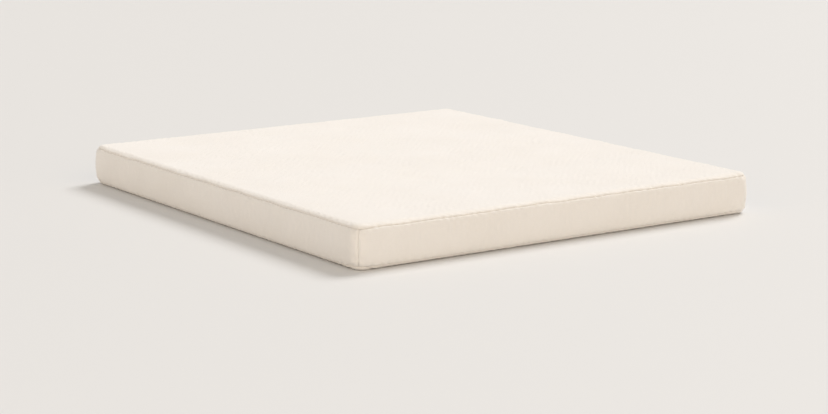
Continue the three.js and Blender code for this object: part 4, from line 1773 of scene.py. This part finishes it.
def latex_finish(name, light, deep):
    material, tree, shader = principled(name)
    place = object_place(tree)
    parts = node(tree, "ShaderNodeSeparateXYZ", Vector=place)
    offsets = []
    for axis in ("X", "Y"):
        cell = math_node(tree, "FRACT", math_node(tree, "DIVIDE", parts.outputs[axis], PIN_PITCH))
        offset = math_node(tree, "SUBTRACT", cell, 0.5)
        offsets.append(math_node(tree, "MULTIPLY", offset, offset))
    away = math_node(tree, "SQRT", math_node(tree, "ADD", *offsets))
    hole = ramp(tree, away, PIN_HOLE * 0.8, PIN_HOLE, 1.0, 0.0)
    geometry = tree.nodes.new("ShaderNodeNewGeometry")
    facing = node(tree, "ShaderNodeSeparateXYZ", Vector=geometry.outputs["Normal"])
    on_face = math_node(tree, "GREATER_THAN", math_node(tree, "ABSOLUTE", facing.outputs["Z"]), PIN_FACING)
    hole = math_node(tree, "MULTIPLY", hole, on_face)
    foam = noise(tree, place, 900.0, 3.0, 0.6)
    cloud = noise(tree, place, 5.0, 3.0, 0.5)
    # the clouds are the foam's own tone; the darker colour of the holes is painted shade
    shade = weighted_sum(tree, (cloud, 0.5), (hole, 0.7))
    put(tree, shader.inputs["Base Color"], mix_color(tree, shade, light, deep))
    put(tree, shader.inputs["Roughness"], ramp(tree, foam, 0.3, 0.7, 0.6, 0.75))
    depth = math_node(tree, "SUBTRACT", math_node(tree, "MULTIPLY", foam, 0.08), hole)
    relief = node(tree, "ShaderNodeBump", Height=depth, Strength=0.8, Distance=0.003)
    put(tree, shader.inputs["Normal"], relief.outputs["Normal"])
    return material


LATEX_FOAM = latex_finish("latex foam", (0.88, 0.83, 0.68, 1), (0.55, 0.49, 0.34, 1))

# %% [markdown]
# Each layer is a closed slab: a grid for its two faces and a rounded edge between them. Wadding has a
# full round edge that wanders, because it is torn or cut by hand; coir and latex are cut square, with
# a small round. The layers are listed from the floor up, with the finish, the round of the edge, how
# far the edge wanders, and how full they are.

# %% layers
LAYERS = [
    ("wool_bottom", "wool_layer_bottom", "wool", WOOL, 0.006, 0.0016, 0.5),
    ("cotton_1", "cotton_layer_1", "cotton", WADDING, 0.009, 0.0014, 0.7),
    ("cotton_2", "cotton_layer_2", "cotton", WADDING, 0.009, 0.0014, 0.7),
    ("coir_bottom", "coir_sheet_bottom", "coir", RUBBERED_COIR, 0.0015, 0.0006, 0.9),
    ("latex_block", "latex_core", "latex", LATEX_FOAM, 0.003, 0.0, 1.0),
    ("coir_top", "coir_sheet_top", "coir", RUBBERED_COIR, 0.0015, 0.0006, 0.9),
    ("cotton_3", "cotton_layer_3", "cotton", WADDING, 0.009, 0.0014, 0.7),
    ("cotton_4", "cotton_layer_4", "cotton", WADDING, 0.009, 0.0014, 0.7),
    ("wool_top", "wool_layer_top", "wool", WOOL, 0.006, 0.0016, 0.5),
]
EDGE_ANGLES = np.linspace(math.pi / 2, 0, 4)
EDGE_WAVES = (9, 90)
EDGE_SEED = 60


def layer(number, name, cad_node, slot, material, edge_round, wander, fill):
    low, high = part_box(cad_node)
    inset = HALF_WIDTH - high[0]
    upper = [(edge_round * (1 - math.cos(a)), high[2] - edge_round * (1 - math.sin(a))) for a in EDGE_ANGLES]
    rows = upper + [(extra, low[2] + high[2] - height) for extra, height in reversed(upper)]
    if edge_round >= (high[2] - low[2]) / 2 - 1e-6:
        del rows[len(upper)]
    sides = [ring_of(few_grid(inset + extra, height)) for extra, height in rows[1:-1]]
    share = 0.5 + 0.5 * np.tanh(periodic_waves(case_along, *EDGE_WAVES, EDGE_SEED + number))
    uneven = 1 - wander * share[:, None]
    sides = [np.column_stack([side[:, :2] * uneven, side[:, 2]]) for side in sides]
    rim = np.stack(sides, 1)
    face_points = few_numbers.size
    upper_face = few_grid(inset + edge_round, high[2])
    lower_face = few_grid(inset + edge_round, low[2])
    ring = np.column_stack([few_ring, numbered(rim, 2 * face_points), few_ring + face_points])
    points = np.concatenate([upper_face.reshape(-1, 3), lower_face.reshape(-1, 3), rim.reshape(-1, 3)])
    faces = [grid_faces(few_numbers), grid_faces(few_numbers + face_points)[:, ::-1], band_faces(ring)]
    piece = mesh_object(name, tufted(points), np.concatenate(faces), material)
    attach(piece, MATTRESS)
    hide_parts(cad_node)


for number, values in enumerate(LAYERS):
    layer(number, *values)
print("layers:", [values[0] for values in LAYERS])

# %% [markdown]
# ### Ties
#
# A tie is a waxed cotton cord, drawn through the whole stack with a long needle. At both ends it
# passes through a rosette of yarn, which spreads the pull so that the cord can't cut the calico. The
# cord is a tube with three plies turning round it. The rosette is a low dome whose rim is pinched
# into tufts. All twenty are alike, so they share one mesh and differ only in where they stand.

# %% the ties
TIE_YARN = thread_finish("waxed cotton yarn", (0.86, 0.8, 0.68, 1), (0.55, 0.47, 0.34, 1))
CORD_RADIUS = 0.002
ROSETTE_RADIUS = 0.013
ROSETTE_HEIGHT = 0.0024
ROSETTE_SINK = 0.0002
CORD_SIDES = 15
CORD_ROWS = 91
PLY_TURNS = 9
PLY_DEPTH = 0.12
TUFTS = 14
TUFT_PINCH = 0.16
TUFT_GROOVE = 0.35
tie_seat = TUFT_DEPTH * (CASE_TOP - ZIP_HEIGHT) / ZIP_HEIGHT
TIE_HALF = CASE_TOP - ZIP_HEIGHT - tie_seat


def cord_part():
    angles = 2 * math.pi * np.arange(CORD_SIDES) / CORD_SIDES
    heights = np.linspace(-TIE_HALF - ROSETTE_HEIGHT / 2, TIE_HALF + ROSETTE_HEIGHT / 2, CORD_ROWS)
    twist = 2 * math.pi * PLY_TURNS * heights / TIE_HALF
    plies = np.cos(3 * (angles[None] + twist[:, None]))
    radius = CORD_RADIUS * (1 - PLY_DEPTH + PLY_DEPTH * plies)
    upright = np.broadcast_to(heights[:, None], radius.shape)
    points = np.stack([radius * np.cos(angles), radius * np.sin(angles), upright], -1)
    numbers = np.arange(points.size // 3).reshape(radius.shape)
    a, b = numbers[:-1], numbers[1:]
    faces = np.stack([a, np.roll(a, -1, 1), np.roll(b, -1, 1), b], -1).reshape(-1, 4).tolist()
    return points.reshape(-1, 3), faces + [numbers[0][::-1].tolist(), numbers[-1].tolist()]


def rosette_part(side):
    """A tufted dome on the case, above (side 1) or below (side -1)."""
    angles = 2 * math.pi * np.arange(6 * TUFTS) / (6 * TUFTS)
    reach = np.array([0.12, 0.3, 0.5, 0.7, 0.86, 0.97, 1.0, 0.9, 0.5, 0.12])
    rise = np.array([0.55, 0.95, 1.0, 0.92, 0.74, 0.45, 0.15, 0.0, 0.0, 0.0])
    pinch = 1 - TUFT_PINCH * (reach[:, None] ** 2) * (0.5 + 0.5 * np.cos(TUFTS * angles)) ** 2
    radius = ROSETTE_RADIUS * reach[:, None] * pinch
    groove = 1 - TUFT_GROOVE * (0.5 + 0.5 * np.cos(TUFTS * angles)) * np.sin(math.pi * reach[:, None]) ** 2
    height = side * (TIE_HALF + ROSETTE_HEIGHT * rise[:, None] * groove - ROSETTE_SINK)
    points = np.stack([radius * np.cos(angles), radius * np.sin(angles), height], -1)
    faces = tube_faces(np.arange(radius.size).reshape(radius.shape))
    if side < 0:
        faces = [face[::-1] for face in faces]
    return points.reshape(-1, 3), faces


tie_mesh = wire_object("tie", *joined([cord_part(), rosette_part(1), rosette_part(-1)]), TIE_YARN)
for name, place in zip(TIES, TIE_PLACES):
    tie = new_object(name.replace("tufting_tie", "tie"), tie_mesh.data)
    tie.location = (place[0], place[1], ZIP_HEIGHT)
    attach(tie, MATTRESS)
    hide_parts(name)
bpy.data.objects.remove(tie_mesh)
print("ties:", len(TIES), "height", round(2 * (TIE_HALF + ROSETTE_HEIGHT), 4))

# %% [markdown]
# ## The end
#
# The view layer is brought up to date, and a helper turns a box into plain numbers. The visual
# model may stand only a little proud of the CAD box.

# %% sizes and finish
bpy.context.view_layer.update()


def plain(box):
    return [[float(value) for value in corner] for corner in box]
